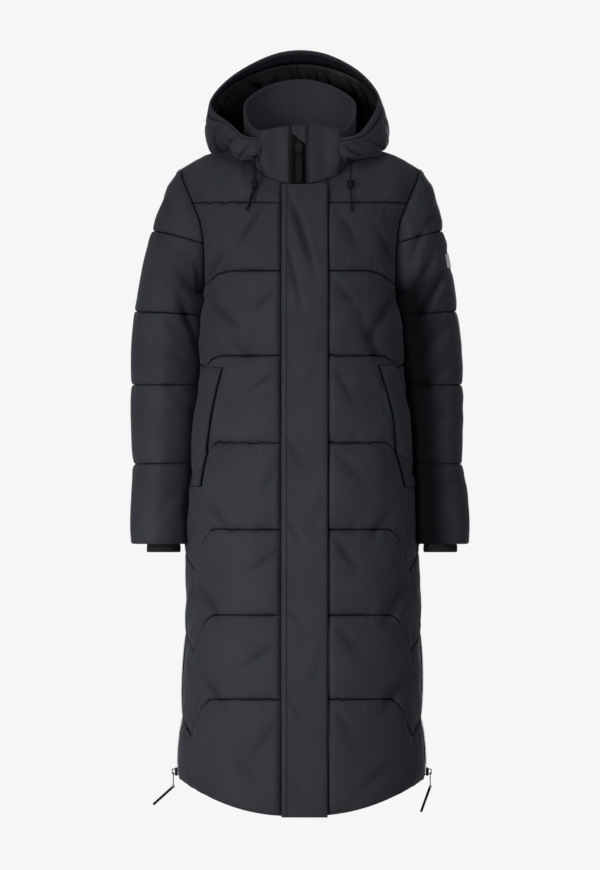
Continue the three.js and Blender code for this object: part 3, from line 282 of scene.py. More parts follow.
def make_object(name, points, faces, material, uv=None, slot="shell", shade=None):
    """Points in mm and faces by index become a mesh with its place in its vertices, riding on the coat. The
    shade is 1 deep in a seam or fold, or where a neighbour takes the light, and 0 in the open."""
    mesh = bpy.data.meshes.new(name)
    mesh.from_pydata((points * MM).tolist(), [], faces.tolist() if hasattr(faces, "tolist") else faces)
    mesh.shade_smooth()
    if uv is not None:
        corner = np.empty(len(mesh.loops), np.int32)
        mesh.loops.foreach_get("vertex_index", corner)
        mesh.uv_layers.new(name="cloth").data.foreach_set("uv", uv[corner].astype(np.float32).ravel())
    if shade is not None:
        shades = mesh.attributes.new("seam_shade", "FLOAT", "POINT").data
        shades.foreach_set("value", shade.astype(np.float32))
    mesh.materials.append(material)
    piece = bpy.data.objects.new(name, mesh)
    bpy.context.scene.collection.objects.link(piece)
    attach(piece, "coat")
    return piece


def wall(name, outer, inner, material, flip=False, closed_rows=0, shade=None, **kind):
    """Outer and inner grid joined round the edges. The first closed_rows rows are sewn side to side."""
    rows, columns = outer.shape[:2]
    index = np.arange(2 * rows * columns).reshape(2, rows, columns)
    if closed_rows:
        index[:, :closed_rows, -1] = index[:, :closed_rows, 0]
    o, n = index
    strip = lambda a, b, c, d: np.stack([a, b, c, d], -1).reshape(-1, 4)
    parts = [strip(o[:-1, :-1], o[:-1, 1:], o[1:, 1:], o[1:, :-1]),
             strip(n[:-1, :-1], n[1:, :-1], n[1:, 1:], n[:-1, 1:]),
             strip(o[0, :-1], n[0, :-1], n[0, 1:], o[0, 1:]),
             strip(o[-1, :-1], o[-1, 1:], n[-1, 1:], n[-1, :-1])]
    first = max(closed_rows - 1, 0)
    if closed_rows < rows:
        parts += [strip(o[first:-1, 0], o[first + 1:, 0], n[first + 1:, 0], n[first:-1, 0]),
                  strip(o[first:-1, -1], n[first:-1, -1], n[first + 1:, -1], o[first + 1:, -1])]
    faces = np.concatenate(parts)
    if flip:
        faces = faces[:, ::-1]
    points = np.concatenate([outer.reshape(-1, 3), inner.reshape(-1, 3)])
    used = np.unique(faces)
    renumber = np.zeros(len(points), int)
    renumber[used] = np.arange(len(used))
    uv = np.tile(cloth_map(outer).reshape(-1, 2), (2, 1))
    if shade is not None:
        both = np.broadcast_to(shade, (2,) + outer.shape[:2])
        shade = np.clip(both, 0, 1).ravel()[used]
    return make_object(name, points[used], renumber[faces], material, uv[used], shade=shade, **kind)


def creases(across, along, rows):
    """Soft troughs: for each row (x0, z0, x1, z1, width, depth), depth * exp(-(distance / width)^2), easing
    out towards the two ends, with a low ridge on both sides."""
    total = np.zeros(np.broadcast(across, along).shape)
    for x0, z0, x1, z1, width, depth in rows:
        dx, dz = x1 - x0, z1 - z0
        share = ((across - x0) * dx + (along - z0) * dz) / (dx * dx + dz * dz)
        near = np.clip(share, 0, 1)
        away = np.hypot(across - x0 - near * dx, along - z0 - near * dz) / width
        ends = 0.35 + 0.65 * np.sin(np.pi * np.clip(share, 0.02, 0.98)) ** 0.6
        total -= depth * ends * (np.exp(-away ** 2) - 0.38 * np.exp(-((away - 1.9) / 0.9) ** 2))
    return total


def curve_at(points, t):
    """Centripetal Catmull-Rom curve: a cubic between each two points, its slopes set by their distances."""
    p = np.asarray(points, float)
    p = np.concatenate([2 * p[:1] - p[1:2], p, 2 * p[-1:] - p[-2:-1]])
    place = np.clip(np.asarray(t, float), 0, 1) * (len(p) - 3)
    i = np.minimum(place.astype(int), len(p) - 4)
    f = (place - i)[..., None]
    a, b, c, d = (p[i + k] for k in range(4))
    s0, s1, s2 = (np.sqrt(np.linalg.norm(v - u, axis=-1, keepdims=True)) for u, v in ((a, b), (b, c), (c, d)))
    m1 = ((b - a) / s0 - (c - a) / (s0 + s1) + (c - b) / s1) * s1
    m2 = ((c - b) / s1 - (d - b) / (s1 + s2) + (d - c) / s2) * s1
    return b + m1 * f + (3 * (c - b) - 2 * m1 - m2) * f ** 2 + (2 * (b - c) + m1 + m2) * f ** 3


def unit(vectors):
    return vectors / np.maximum(np.linalg.norm(vectors, axis=-1, keepdims=True), 1e-9)


def beads(name, centres, along, out, sizes, material, slot, power=1.0):
    """One mesh of small rounded blocks at the centres: length along, height out and width across, in mm."""
    sides = 5
    rise = np.array([-0.9, 0.0, 0.9])
    turn = np.linspace(0, 2 * np.pi, sides, endpoint=False)
    radius = np.sqrt(1 - rise ** 2) ** power
    ring = np.stack([np.outer(rise, np.ones(sides)), np.outer(radius, np.cos(turn)),
                     np.outer(radius, np.sin(turn))], -1)
    shape = ring.reshape(-1, 3) / 2 * np.array(sizes)
    along, out = unit(along), unit(out)
    across = unit(np.cross(along, out))
    points = (centres[:, None] + shape[None, :, :1] * along[:, None] + shape[None, :, 1:2] * out[:, None]
              + shape[None, :, 2:] * across[:, None]).reshape(-1, 3)
    here = np.arange(sides)
    following = (here + 1) % sides
    belt = np.stack([here + sides, following + sides, following, here], 1)
    faces = np.concatenate([belt + r * sides for r in range(len(rise) - 1)])
    caps = [here, here[::-1] + (len(rise) - 1) * sides]
    starts = np.arange(len(centres)) * len(rise) * sides
    flat = [(face + start).tolist() for start in starts for face in (*faces, *caps)]
    return make_object(name, points, flat, material, None, slot)


STITCH_PITCH = 3.6


def stitches(name, lines, slot="shell"):
    """Short thread beads along lines given as (points, outward directions)."""
    centres, along, out = [], [], []
    for points, outward in lines:
        length = np.concatenate([[0], np.cumsum(np.linalg.norm(np.diff(points, axis=0), axis=1))])
        at = np.arange(STITCH_PITCH / 2, length[-1], STITCH_PITCH)
        pick = lambda values, where: np.stack([np.interp(where, length, values[:, k]) for k in range(3)], 1)
        centres.append(pick(points, at) + 0.15 * unit(pick(outward, at)))
        along.append(pick(points, at + 0.5) - pick(points, at - 0.5))
        out.append(pick(outward, at))
    beads(name, np.concatenate(centres), np.concatenate(along), np.concatenate(out),
          (STITCH_PITCH * 0.72, 0.55, 0.6), THREAD, slot)
    print(name, sum(len(c) for c in centres), "stitches")


# %% [markdown]
# ## Drawcords
# Three cord ends hang from the hood's eyelets: two on one side, through one stopper, and one on the other.
# Each is as long as the photograph shows it, seven to nine centimetres, and ends in its tip.

# %% Drawcords
CORD_DIAMETER = 2.5
CORDS = {
    "right_long": [(-76.2, -94.3, 8.3), (-77.2, -96.2, 6.4), (-77.3, -98.2, 2.5), (-76.6, -100.2, -6),
                   (-75.4, -103.2, -18), (-74.7, -106.2, -30), (-74.8, -109, -42), (-77, -112, -53),
                   (-81, -115.5, -64), (-85.5, -119.5, -74)],
    "right_short": [(-78.6, -92.7, 8.4), (-80.1, -94.4, 6.2), (-80.6, -96.5, 2.5), (-80.1, -99.2, -6),
                    (-79, -102.6, -18), (-78.3, -106, -30), (-78.3, -108.9, -42), (-78.8, -110.9, -49.5),
                    (-82, -116.6, -59)],
    "left": [(84, -88.1, 4.6), (85.8, -89.9, 3.2), (86.5, -92.5, 0), (86.3, -96.2, -8), (86, -100.4, -18),
             (86, -104.6, -30), (86, -108.6, -42), (86.4, -111.9, -54), (87, -115, -65), (87.6, -118.4, -76)]}


def braided_tube(name, points, diameter, sides=12, rings=90):
    """A tube round a curve; its radius swells and dips slightly, strand by strand."""
    line = curve_at(points, np.linspace(0, 1, rings))
    ahead = unit(np.gradient(line, axis=0))
    across = unit(np.cross(ahead, [1.0, 0.2, 0]))
    up = np.cross(ahead, across)
    turn = np.linspace(0, 2 * np.pi, sides, endpoint=False)
    strand = 1 + 0.05 * np.sin(3 * turn[None] + np.arange(rings)[:, None] * 1.1)
    grid = (line[:, None] + diameter / 2 * strand[..., None] * (np.cos(turn)[None, :, None] * across[:, None]
                                                               + np.sin(turn)[None, :, None] * up[:, None]))
    index = np.arange(rings * sides).reshape(rings, sides)
    ahead_index = np.roll(index, -1, 1)
    quads = np.stack([index[:-1], index[1:], ahead_index[1:], ahead_index[:-1]], -1).reshape(-1, 4).tolist()
    faces = quads + [index[0].tolist(), index[-1][::-1].tolist()]
    uv = np.stack([np.tile(turn * diameter / 2, rings), np.repeat(np.arange(rings) * 1.0, sides)], 1) * MM
    return make_object(name, grid.reshape(-1, 3), faces, CORD_BRAID, uv, "cord"), line


for side_name, points in CORDS.items():
    cord, line = braided_tube("drawcord_" + side_name, points, CORD_DIAMETER)
    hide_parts("cord_" + side_name)

# %% [markdown]
# ## The body's shape
# Level sections give the body: a half width, a depth to the front and one to the back at each height. A
# section is a rounded rectangle, |x/a|^n + |y/b|^n = 1 with n = 2.3. Above the underarm it ends at the
# armhole, and above the yoke seam it bends over the shoulders.

# %% Body sections
SIDES = ((-1, "right"), (1, "left"))
ROUNDNESS = 2.3
ARM_TOP = -15
ARM_REACH = 65
BODY = np.array([
    # z, half width, front depth, back depth, middle
    (-1120, 206, 146, 152, 3), (-1035, 205, 147, 154, 3), (-947, 199, 147, 155, 3),
    (-835, 196, 146, 155, 5), (-746, 195, 145, 154, 6), (-668, 195, 144, 152, 3.5),
    (-559, 192, 142, 146, 3), (-473, 186, 140, 138, 5), (-400, 177, 140, 134, 4),
    (-345, 175, 140, 135, 3), (-282, 171, 140, 138, 2), (-230, 162, 138, 140, 0),
    (-150, 162, 132, 137, 0), (-73, 182, 116, 118, 0), (-41, 198, 100, 105, 0)])
ARM_EDGE = np.array([(-231, 162), (-202, 162), (-155, 163), (-129, 165), (-102, 170), (-73, 182),
                     (-34, 200), (-15, 204)])
# Quilting lines from the second up: height at the centre, at the low corner and at the side
YOKE_Z = -73
QUILT = np.array([(-916, -980, -947), (-773, -836, -805), (-628, -698, -668), (-481, -540, -522),
                  (-333, -352, -345), (-189, -196, -212), (YOKE_Z, YOKE_Z, YOKE_Z)])
LEVEL_UNTIL, CORNER_AT, NECK_SHARE = 0.49, 0.71, 0.4
HEM_Z, HEM_RISE = -1114, 60
YOKE = 7
ZIP_X, ZIP_HALF = -2, 12.3
TOP_BAND = 100
BODY_PUFF = 9.0
SEAM_PUFF = 5.4
TAPE_TOP = -790
WALL = 2.5


def line_heights(u):
    """Heights of all eight quilting lines at shares u of the way to the side, hem first."""
    u = np.asarray(u, float)
    hem = HEM_Z + HEM_RISE * np.sin(np.clip(u, 0, 1) * np.pi / 2) ** 1.9
    down = np.clip((u - LEVEL_UNTIL) / (CORNER_AT - LEVEL_UNTIL), 0, 1) ** 1.7
    up = 1 - (1 - np.clip((u - CORNER_AT) / (1 - CORNER_AT), 0, 1)) ** 1.6
    return np.stack([hem] + [mix(mix(c, v, down), s, up * (u > CORNER_AT)) for c, v, s in QUILT])


def band_ends(heights, index):
    """Heights of the lines below and above the bands numbered by index."""
    return [np.take_along_axis(heights, index[None] + step, 0)[0] for step in (0, 1)]


UNDERARM_Z = float(mix(line_heights(1.0)[5], line_heights(1.0)[6], 0.86))
ARM_MIDDLE = (UNDERARM_Z + ARM_TOP) / 2


def arm_reach(z):
    """Half the armhole's width from front to back at a height: an ellipse."""
    return ARM_REACH * np.sqrt(np.clip(1 - ((z - ARM_MIDDLE) / (ARM_TOP - ARM_MIDDLE)) ** 2, 0, 1))


def section(z, face):
    """Half width, depth, middle and end angle of the body's section at heights z, front -1 or back 1."""
    depth = at_height(BODY, z, 2 if face < 0 else 3)
    share = np.clip(arm_reach(z) / depth, 0, 1) * (z > UNDERARM_Z)
    across = (1 - share ** ROUNDNESS) ** (1 / ROUNDNESS)
    end = np.arctan2(across ** (ROUNDNESS / 2), share ** (ROUNDNESS / 2))
    half = np.where(z > UNDERARM_Z, at_height(ARM_EDGE, z, 1), at_height(BODY, z, 1)) / across
    return half, depth, at_height(BODY, z, 4), end


def body_point(face, side, angle, z):
    """A point of the section at an angle from the middle of the front or back."""
    half, depth, middle, _ = section(z, face)
    x = middle + side * half * np.abs(np.sin(angle)) ** (2 / ROUNDNESS)
    y = face * depth * np.abs(np.cos(angle)) ** (2 / ROUNDNESS)
    return np.stack([x, y, z + 0 * x], -1)


def start_angle(face, side, z):
    """Fronts start beside the zip, the back at its middle."""
    if face > 0:
        return 0 * z
    half, _, middle, _ = section(z, face)
    return np.arcsin((np.abs(ZIP_X + side * ZIP_HALF - middle) / half) ** (ROUNDNESS / 2))


# %% [markdown]
# The neck seam is an oval that rises from the front to the shoulders. The top band of each panel is a
# bent sheet between the yoke seam and the neck and shoulder seams.

# %% Neck seam and panel surface
NECK_HALF, NECK_Y, NECK_REACH = 95, -13, 85
NECK_FRONT_Z, NECK_SIDE_Z, NECK_BACK_Z, NECK_TURN = -42, 28, 30, 95


def neck_point(angle):
    """A point of the neck seam; degrees from the front, negative towards the wearer's right."""
    turn = np.where(np.abs(angle) > 180, 360 - np.abs(angle), np.abs(angle))
    low = NECK_FRONT_Z + (NECK_SIDE_Z - NECK_FRONT_Z) * np.clip(turn / NECK_TURN, 0, 1) ** 1.5
    high = mix(NECK_SIDE_Z, NECK_BACK_Z, (turn - NECK_TURN) / (180 - NECK_TURN))
    a = np.radians(angle)
    return np.stack([NECK_HALF * np.sin(a), NECK_Y - NECK_REACH * np.cos(a),
                     np.where(turn < NECK_TURN, low, high)], -1)


def top_edge(face, side, u):
    """Along the neck seam, then out along the shoulder seam to its tip."""
    start = np.degrees(np.arcsin(abs(ZIP_X + side * ZIP_HALF) / NECK_HALF)) if face < 0 else 180
    round_neck = neck_point(mix(start, NECK_TURN, np.clip(u / NECK_SHARE, 0, 1)))
    t = np.clip((u - NECK_SHARE) / (1 - NECK_SHARE), 0, 1)[..., None]
    shoulder = mix(neck_point(NECK_TURN), np.array([ARM_EDGE[-1, 1], 0.0, ARM_TOP]), t)
    shoulder[..., 2] += 5 * np.sin(t[..., 0] * np.pi)
    point = np.where((u <= NECK_SHARE)[..., None], round_neck, shoulder)
    return point * np.array([side, 1, 1])


def panel_grid(face, side, u, line):
    """Points of a front or back panel at shares u across and quilting line numbers up."""
    u, line = np.meshgrid(u, line)
    heights = line_heights(u)
    index = np.clip(np.floor(line).astype(int), 0, YOKE - 1)
    z = mix(*band_ends(heights, index), np.clip(line - index, 0, 1))
    start = start_angle(face, side, z)
    grid = body_point(face, side, start + u * (section(z, face)[3] - start), z)
    share = np.clip(line - YOKE, 0, 1)[..., None]
    knee_x = top_edge(face, side, u)
    knee = np.stack([mix(grid[..., 0], knee_x[..., 0], 0.45), grid[..., 1] * 0.93,
                     mix(grid[..., 2], knee_x[..., 2], 0.62)], -1)
    bend = grid * (1 - share) ** 2 + knee * 2 * share * (1 - share) + knee_x * share ** 2
    level = mix(YOKE_Z, ARM_TOP, share[:, :1, 0])
    edge = np.stack([side * at_height(ARM_EDGE, level, 1), face * arm_reach(level), level], -1)
    bend += (edge - bend[:, -1:]) * (u ** 3)[..., None]
    return np.where((line > YOKE)[..., None], bend, grid), u, line


# %% [markdown]
# ## Filling
# Between two lines the cloth stands on its filling in a rounded hump. Near a line, the thread gathers it
# into short puckers at right angles to the line, which die out within three centimetres.

# %% Puffs and puckers
FLAP_SEWN, FLAP_FREE = -31, 46


def puff(share, height, along, seed, tall):
    """Two humps mixed, tall * (1 - |2s - 1|^n)^0.5 with n = 2.6 for the swell and n = 22 for the steep sides
    of the groove, and puckers."""
    off_middle = np.abs(2 * np.clip(share, 0, 1) - 1)
    swell = tall * (0.5 * (1 - off_middle ** 2.6) ** 0.5 + 0.5 * (1 - off_middle ** 22) ** 0.5)
    near = np.minimum(share, 1 - share) * height
    gather = noise(along, seed + 0 * along, 9, seed) + 0.7 * noise(along, near, 16, seed + 1)
    strength = 0.35 + 0.9 * smooth(0.5 + 0.9 * noise(along, near * 0, 60, seed + 2))
    pucker = 1.5 * strength * gather * np.exp(-near / 14) * (1 - np.exp(-near / 2.2))
    return swell + pucker


def band_fade(face, side, x, z, u, line):
    """Share of the full puff: none at the armhole, little under the flap and where the hood lies."""
    armhole = smooth((z - UNDERARM_Z + 45) / 44)
    fade = 1 - mix(0.35, 1, armhole) * u ** 6
    if face < 0:
        beyond = (x - FLAP_FREE + 8) if side > 0 else (FLAP_SEWN - x) * 2.4
        fade = fade * mix(0.12, 1, smooth(beyond / 20))
    return np.where(line > YOKE, fade * mix(0.2, 1, smooth((np.abs(x) - 125) / 35)), fade)


# Pocket welts: rows of height, front edge and width, for the right (-1) and the left (1)
WELTS = {-1: np.array([(-556, -160, 19), (-491, -153, 23), (-437, -143, 27), (-352, -126, 30)]),
         1: np.array([(-556, 170, 19), (-491, 158, 23), (-437, 150, 27), (-348, 128, 30)])}


def under_welt(side, x, z):
    """1 where a pocket's welt lies on the front, easing to 0 over 8 mm round it."""
    rows = WELTS[side]
    across = (x - at_height(rows, z, 1)) * side
    width = at_height(rows, z, 2)
    inside = np.minimum(np.minimum(across, width - across), np.minimum(z - rows[0, 0], rows[-1, 0] - z))
    return smooth((inside + 7) / 8)


def panel_lift(face, side, grid, u, line, seed):
    """How far the filling lifts a panel at each point of its grid."""
    heights = line_heights(u)
    index = np.clip(np.floor(line).astype(int), 0, YOKE)
    low, high = band_ends(heights, np.minimum(index, YOKE - 1))
    height = np.where(index < YOKE, high - low, TOP_BAND)
    x, z = grid[..., 0], grid[..., 2]
    fade = band_fade(face, side, x, z, u, line)
    along = cloth_map(grid)[..., 0] / MM
    slow = 1.3 * noise(x, z, 62, seed + 9) + 0.6 * noise(along, z, 27, seed + 5)
    ridge = 0.3 * noise(along + 0.6 * z, z * 0.3, 12, seed + 6)
    edges = np.minimum(1, (1 - u) * 9)
    share = np.clip(line - index, 0, 1)
    # each line has its own gathers, so the place along it is shifted from line to line
    lift = puff(share, height, along + 400 * np.round(line), seed, BODY_PUFF * 0.86)
    lift += (slow + ridge) * edges * hump(share)
    # beside the arm the lines pull in less
    below_arm = smooth((UNDERARM_Z - z) / 40) * smooth((u - 0.8) / 0.2)
    lift = mix(lift, 3.2 + 0.5 * lift, below_arm)
    if face < 0:
        lift = mix(lift, BODY_PUFF * hump(share), under_welt(side, x, z))
    # at the side seam the cloth lies close under the zip's tape
    taped = smooth((u - 0.93) / 0.06) * smooth((TAPE_TOP - z) / 12)
    return mix(lift * fade, SEAM_PUFF * hump(share) + 0.6, taped)


def front_point(x, z):
    """The front's surface at a distance across and a height."""
    half, depth, middle, _ = section(z, -1)
    share = np.clip(np.abs(x - middle) / half, 0, 0.999)
    return np.stack([x + 0 * z, -depth * (1 - share ** ROUNDNESS) ** (1 / ROUNDNESS), z + 0 * x], -1)


def band_share(u, z):
    """Number of the band that holds a height, and the share of the way up it."""
    heights = line_heights(u)
    index = np.clip((z[None] > heights[1:]).sum(0), 0, YOKE - 1)
    low, high = band_ends(heights, index)
    return index, np.clip((z - low) / (high - low), 0, 1)


def front_puff(side, x, z):
    """Height of the plain filling under a point of the front."""
    half, _, middle, end = section(z, -1)
    angle = np.arcsin(np.clip(np.abs(x - middle) / half, 0, 1) ** (ROUNDNESS / 2))
    start = start_angle(-1, side, z)
    u = np.clip((angle - start) / (end - start), 0, 1)
    index, share = band_share(u, z)
    return BODY_PUFF * hump(share) * band_fade(-1, side, x, z, u, index + share * 0.99)


# %% [markdown]
# ## Letting the cloth settle
# The worked-out shape is too even. A short cloth simulation with air pressure, the seams held, lets the
# face cloth find its own small wrinkles. It runs on every second point of the grid, and the movement is
# spread over the full grid and capped, so that no piece grows past its place.

# %% Cloth simulation
SIM_FRAMES = 14
SIM_STEP = 2
SIM_PRESSURE = 4.0
SIM_GROWTH = 0.03
SETTLE_SHARE = 0.55


def spread_out(values, places):
    """Values on a coarse grid, read between its rows at the given places."""
    known = np.arange(len(values))
    flat = values.reshape(len(values), -1)
    return np.stack([np.interp(places, known, column) for column in flat.T], 1).reshape(-1, *values.shape[1:])


def settle(name, outer, held, cap, flip, freedom):
    """Inflates a grid whose held points are pinned, of a cloth that wants to be larger than the grid. Freedom
    is the share of the movement that is kept at each point, and no point moves further than the cap."""
    coarse = outer[::SIM_STEP, ::SIM_STEP]
    rows, columns = coarse.shape[:2]
    index = np.arange(rows * columns).reshape(rows, columns)
    faces = np.stack([index[:-1, :-1], index[:-1, 1:], index[1:, 1:], index[1:, :-1]], -1).reshape(-1, 4)
    if flip:
        faces = faces[:, ::-1]
    mesh = bpy.data.meshes.new(name)
    mesh.from_pydata((coarse.reshape(-1, 3) * MM).tolist(), [], faces.tolist())
    cloth_object = bpy.data.objects.new(name, mesh)
    bpy.context.scene.collection.objects.link(cloth_object)
    group = cloth_object.vertex_groups.new(name="held")
    pins = np.flatnonzero(held[::SIM_STEP, ::SIM_STEP].ravel())
    group.add(pins.tolist(), 1.0, "REPLACE")
    cloth = cloth_object.modifiers.new("cloth", "CLOTH")
    settings = cloth.settings
    settings.quality = 6
    settings.mass = 0.25
    settings.tension_stiffness = settings.compression_stiffness = 22
    settings.shear_stiffness = 8
    settings.bending_stiffness = 0.5
    settings.tension_damping = settings.compression_damping = 8
    settings.use_pressure = True
    settings.uniform_pressure_force = SIM_PRESSURE
    settings.shrink_min = -SIM_GROWTH
    settings.vertex_group_mass = "held"
    settings.effector_weights.gravity = 0
    cloth.collision_settings.use_collision = False
    cloth.point_cache.frame_start = 1
    cloth.point_cache.frame_end = SIM_FRAMES
    for number in range(1, SIM_FRAMES + 1):
        bpy.context.scene.frame_set(number)
    evaluated = cloth_object.evaluated_get(bpy.context.evaluated_depsgraph_get())
    moved = np.empty(rows * columns * 3, np.float32)
    evaluated.to_mesh().vertices.foreach_get("co", moved)
    move = moved.reshape(rows, columns, 3) / MM - coarse
    evaluated.to_mesh_clear()
    bpy.data.objects.remove(cloth_object)
    bpy.context.scene.frame_set(1)
    length = np.linalg.norm(move, axis=2, keepdims=True)
    move *= np.minimum(1, cap / np.maximum(length, 1e-6))
    tall, broad = outer.shape[:2]
    spread = spread_out(move.swapaxes(0, 1), np.arange(broad) / SIM_STEP).swapaxes(0, 1)
    spread = spread_out(spread, np.arange(tall) / SIM_STEP)
    print(name, "moved up to", round(float(length.max()), 1), "mm, mean", round(float(length.mean()), 2))
    return outer + spread * freedom[..., None]


# %% [markdown]
# ## Fronts and back
# The lower quilting lines run level across the front, turn down in a low corner near the side, and climb
# again over the side seam. The hem is cut round, high at the sides. The larger creases are listed one by one.

# %% Fronts and back
BAND_STEPS = 28
band_at = np.arange(BAND_STEPS) / BAND_STEPS
# rows crowd together beside the lines, where the cloth bends most
BAND_SHARES = mix(band_at, (1 - np.cos(np.pi * band_at)) / 2, 0.85)
PANEL_LINES = np.concatenate([(np.arange(YOKE + 1)[:, None] + BAND_SHARES).ravel(), [YOKE + 0.9999]])
FRONT_CREASES = {
    -1: [(-60, -78, -105, -150, 9, 2.2), (-38, -215, -78, -262, 8, 2.0), (-150, -240, -95, -292, 10, 2.4),
         (-40, -360, -92, -398, 8, 2.2), (-125, -300, -70, -345, 9, 1.8), (-38, -520, -70, -575, 7, 2.0),
         (-36, -660, -88, -700, 9, 2.2), (-150, -585, -110, -640, 10, 2.0), (-40, -820, -95, -860, 9, 2.2),
         (-170, -720, -128, -790, 11, 2.2), (-36, -950, -80, -1010, 8, 2.0),
         (-165, -870, -120, -935, 10, 2.0), (-120, -1010, -60, -1070, 10, 1.8),
         (-120, -150, -158, -205, 8, 2.2)],
    1: [(60, -85, 100, -160, 9, 2.2), (52, -205, 98, -262, 9, 2.2), (95, -270, 133, -345, 11, 3.4),
        (155, -225, 118, -300, 9, 2.6), (54, -352, 90, -420, 8, 2.2), (60, -500, 110, -560, 9, 2.0),
        (150, -590, 112, -650, 10, 2.2), (54, -640, 96, -705, 9, 2.4), (175, -720, 132, -800, 11, 2.4),
        (54, -790, 105, -850, 9, 2.2), (172, -880, 128, -950, 10, 2.2), (56, -930, 92, -1000, 8, 2.0),
        (150, -1020, 92, -1075, 10, 2.0), (122, -110, 160, -190, 9, 2.4)],
}
BACK_CREASES = [
    (-120, -130, -60, -210, 11, 2.4), (110, -150, 150, -240, 11, 2.6), (-30, -240, 40, -300, 12, 2.2),
    (-150, -380, -80, -440, 11, 2.4), (60, -400, 130, -470, 10, 2.2), (-60, -560, 10, -610, 12, 2.2),
    (150, -600, 90, -680, 11, 2.4), (-160, -720, -100, -800, 11, 2.4), (30, -700, 100, -760, 10, 2.0),
    (-70, -860, -10, -930, 12, 2.2), (160, -860, 100, -940, 11, 2.4), (-140, -1000, -70, -1070, 11, 2),
    (40, -1000, 110, -1060, 10, 2.0)]
CREASE_SHARE = 0.8
# half width of the painted shade along a quilting seam
SEAM_SHADE_HALF = 1.5


def seam_wiggle(along, row, seed):
    """How far the gathers push a seam up or down, in mm: short waves that come and go along it."""
    patchy = smooth(0.4 + 1.2 * noise(along, row, 45, seed + 21))
    return patchy * (1.5 * noise(along, row, 7, seed + 22) + 0.8 * noise(along, row, 3.4, seed + 23))


def fold_shade(fold, from_depth, full_depth):
    """Shade at the bottom of troughs deeper than from_depth, full at full_depth."""
    return smooth((-fold - from_depth) / (full_depth - from_depth))


def held_points(line, u):
    """Seam lines and edges hold the cloth."""
    share = np.abs(line - np.round(line))
    return (share < 0.012) | (np.abs(u) > 0.985) | (line > YOKE + 0.985) | (line < 0.01)


def finish_quilted(name, outer, grid, normal, seams, flip, shade, closed_rows=0):
    """The wall of a quilted piece, with its stitches along the rows where its seams are."""
    piece = wall(name + "_cloth", outer, grid - normal * WALL, SOFTSHELL, flip, closed_rows, shade)
    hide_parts(name)
    stitches(name + "_stitches", [(outer[row], normal[row]) for row in np.arange(1, seams) * BAND_STEPS])
    print(name, "quads", len(piece.data.polygons))


def quilted_panel(name, face, sides, columns, seed):
    """Builds one panel; the back has both sides in one piece."""
    u = np.linspace(0, 1, columns)
    grids = [panel_grid(face, side, u, PANEL_LINES) for side in sides]
    lifts = [panel_lift(face, side, g, gu, gl, seed + 3 * k)
             for k, (side, (g, gu, gl)) in enumerate(zip(sides, grids))]
    grid, across, line = grids[0]
    lift = lifts[0]
    if len(sides) == 2:
        join = lambda a, b: np.concatenate([a[:, :0:-1], b], 1)
        grid, across = join(grids[0][0], grids[1][0]), join(-grids[0][1], grids[1][1])
        line, lift = join(grids[0][2], grids[1][2]), join(lifts[0], lifts[1])
    flip = face > 0 or sides[0] < 0
    normal = facing(grid, flip)
    rows = BACK_CREASES if face > 0 else FRONT_CREASES[sides[0]]
    loose = np.minimum(1, 8 * (1 - np.abs(across)))
    held = held_points(line, across)
    if face < 0:
        welt = under_welt(sides[0], grid[..., 0], grid[..., 2])
        loose = loose * (1 - welt)
        held |= welt > 0.3
    fold = CREASE_SHARE * creases(grid[..., 0], grid[..., 2], rows) * loose
    outer = grid + normal * (lift + fold)[..., None]
    freedom = SETTLE_SHARE * smooth((1 - np.abs(across)) / 0.1) * smooth((YOKE + 0.8 - line) / 0.4)
    outer = settle(name + "_sim", outer, held, 4.5, flip, freedom)
    index = np.clip(np.floor(line).astype(int), 0, YOKE - 1)
    low, high = band_ends(line_heights(np.abs(across)), index)
    # painted shade: a dark line along each quilting seam, in the deeper folds and at the armhole's edge
    wiggle = seam_wiggle(grid[..., 0], 40 * np.round(line), seed)
    to_line = (line - np.round(line)) * (high - low) + wiggle
    shade = bell(to_line, SEAM_SHADE_HALF) * (line > 0.5) * (line < YOKE + 0.5)
    shade += 0.45 * fold_shade(fold, 0.4, 2.4)
    to_arm = (1 - np.abs(across)) * 150
    shade += bell(to_arm, 2.2) * (grid[..., 2] > UNDERARM_Z - 6)
    if face < 0:
        x = grid[..., 0]
        # painted shadow along the flap's edges; none under a welt
        beside_flap = (FLAP_SEWN - x - 0.6) if sides[0] < 0 else (x - FLAP_FREE - 0.8)
        shade = (shade + 0.9 * bell(beside_flap, 2.4)) * (1 - welt)
    finish_quilted(name, outer, grid, normal, YOKE + 1, flip, shade)


for name, face, sides, columns, seed in [("front_right", -1, [-1], 86, 11), ("front_left", -1, [1], 86, 31),
                                         ("back_panel", 1, [-1, 1], 84, 51)]:
    quilted_panel(name, face, sides, columns, seed)

# %% [markdown]
# ## Sleeves
# A sleeve is a tube that hangs close to the side. Its rows are level; above the underarm they are open
# towards the body, where they end on the armhole seam. Deep soft folds cross it at the elbow and shoulder.

# %% Sleeves
SLEEVE_EDGE = {
    -1: np.array([(-653, 283), (-513, 279), (-382, 282), (-257, 277), (-238, 272), (-180, 261), (-117, 247),
                  (-76, 232), (-45, 221), (-15, 206)]),
    1: np.array([(-653, 284), (-626, 282), (-559, 277), (-510, 271), (-384, 272), (-253, 263), (-180, 250),
                 (-122, 240), (-87, 232), (-45, 221), (-15, 206)])}
# height, half depth, distance forward, and how much higher the outside is
SLEEVE_ROWS = np.array([(-653, 46, 14, 0), (-513, 54, 8, -4), (-382, 60, 2, 0), (-269, 64, 0, 12),
                        (-143, 65, 0, 22), (-92, 65, 0, 20), (-44, 65, 0, 8), (-15, 65, 0, 0)])
SLEEVE_SEAMS = np.array([-653, -513, -382, -269, -142.5, -15])
SLEEVE_PUFF = 6.0
CUFF_Z = -653
GAP = 0.3


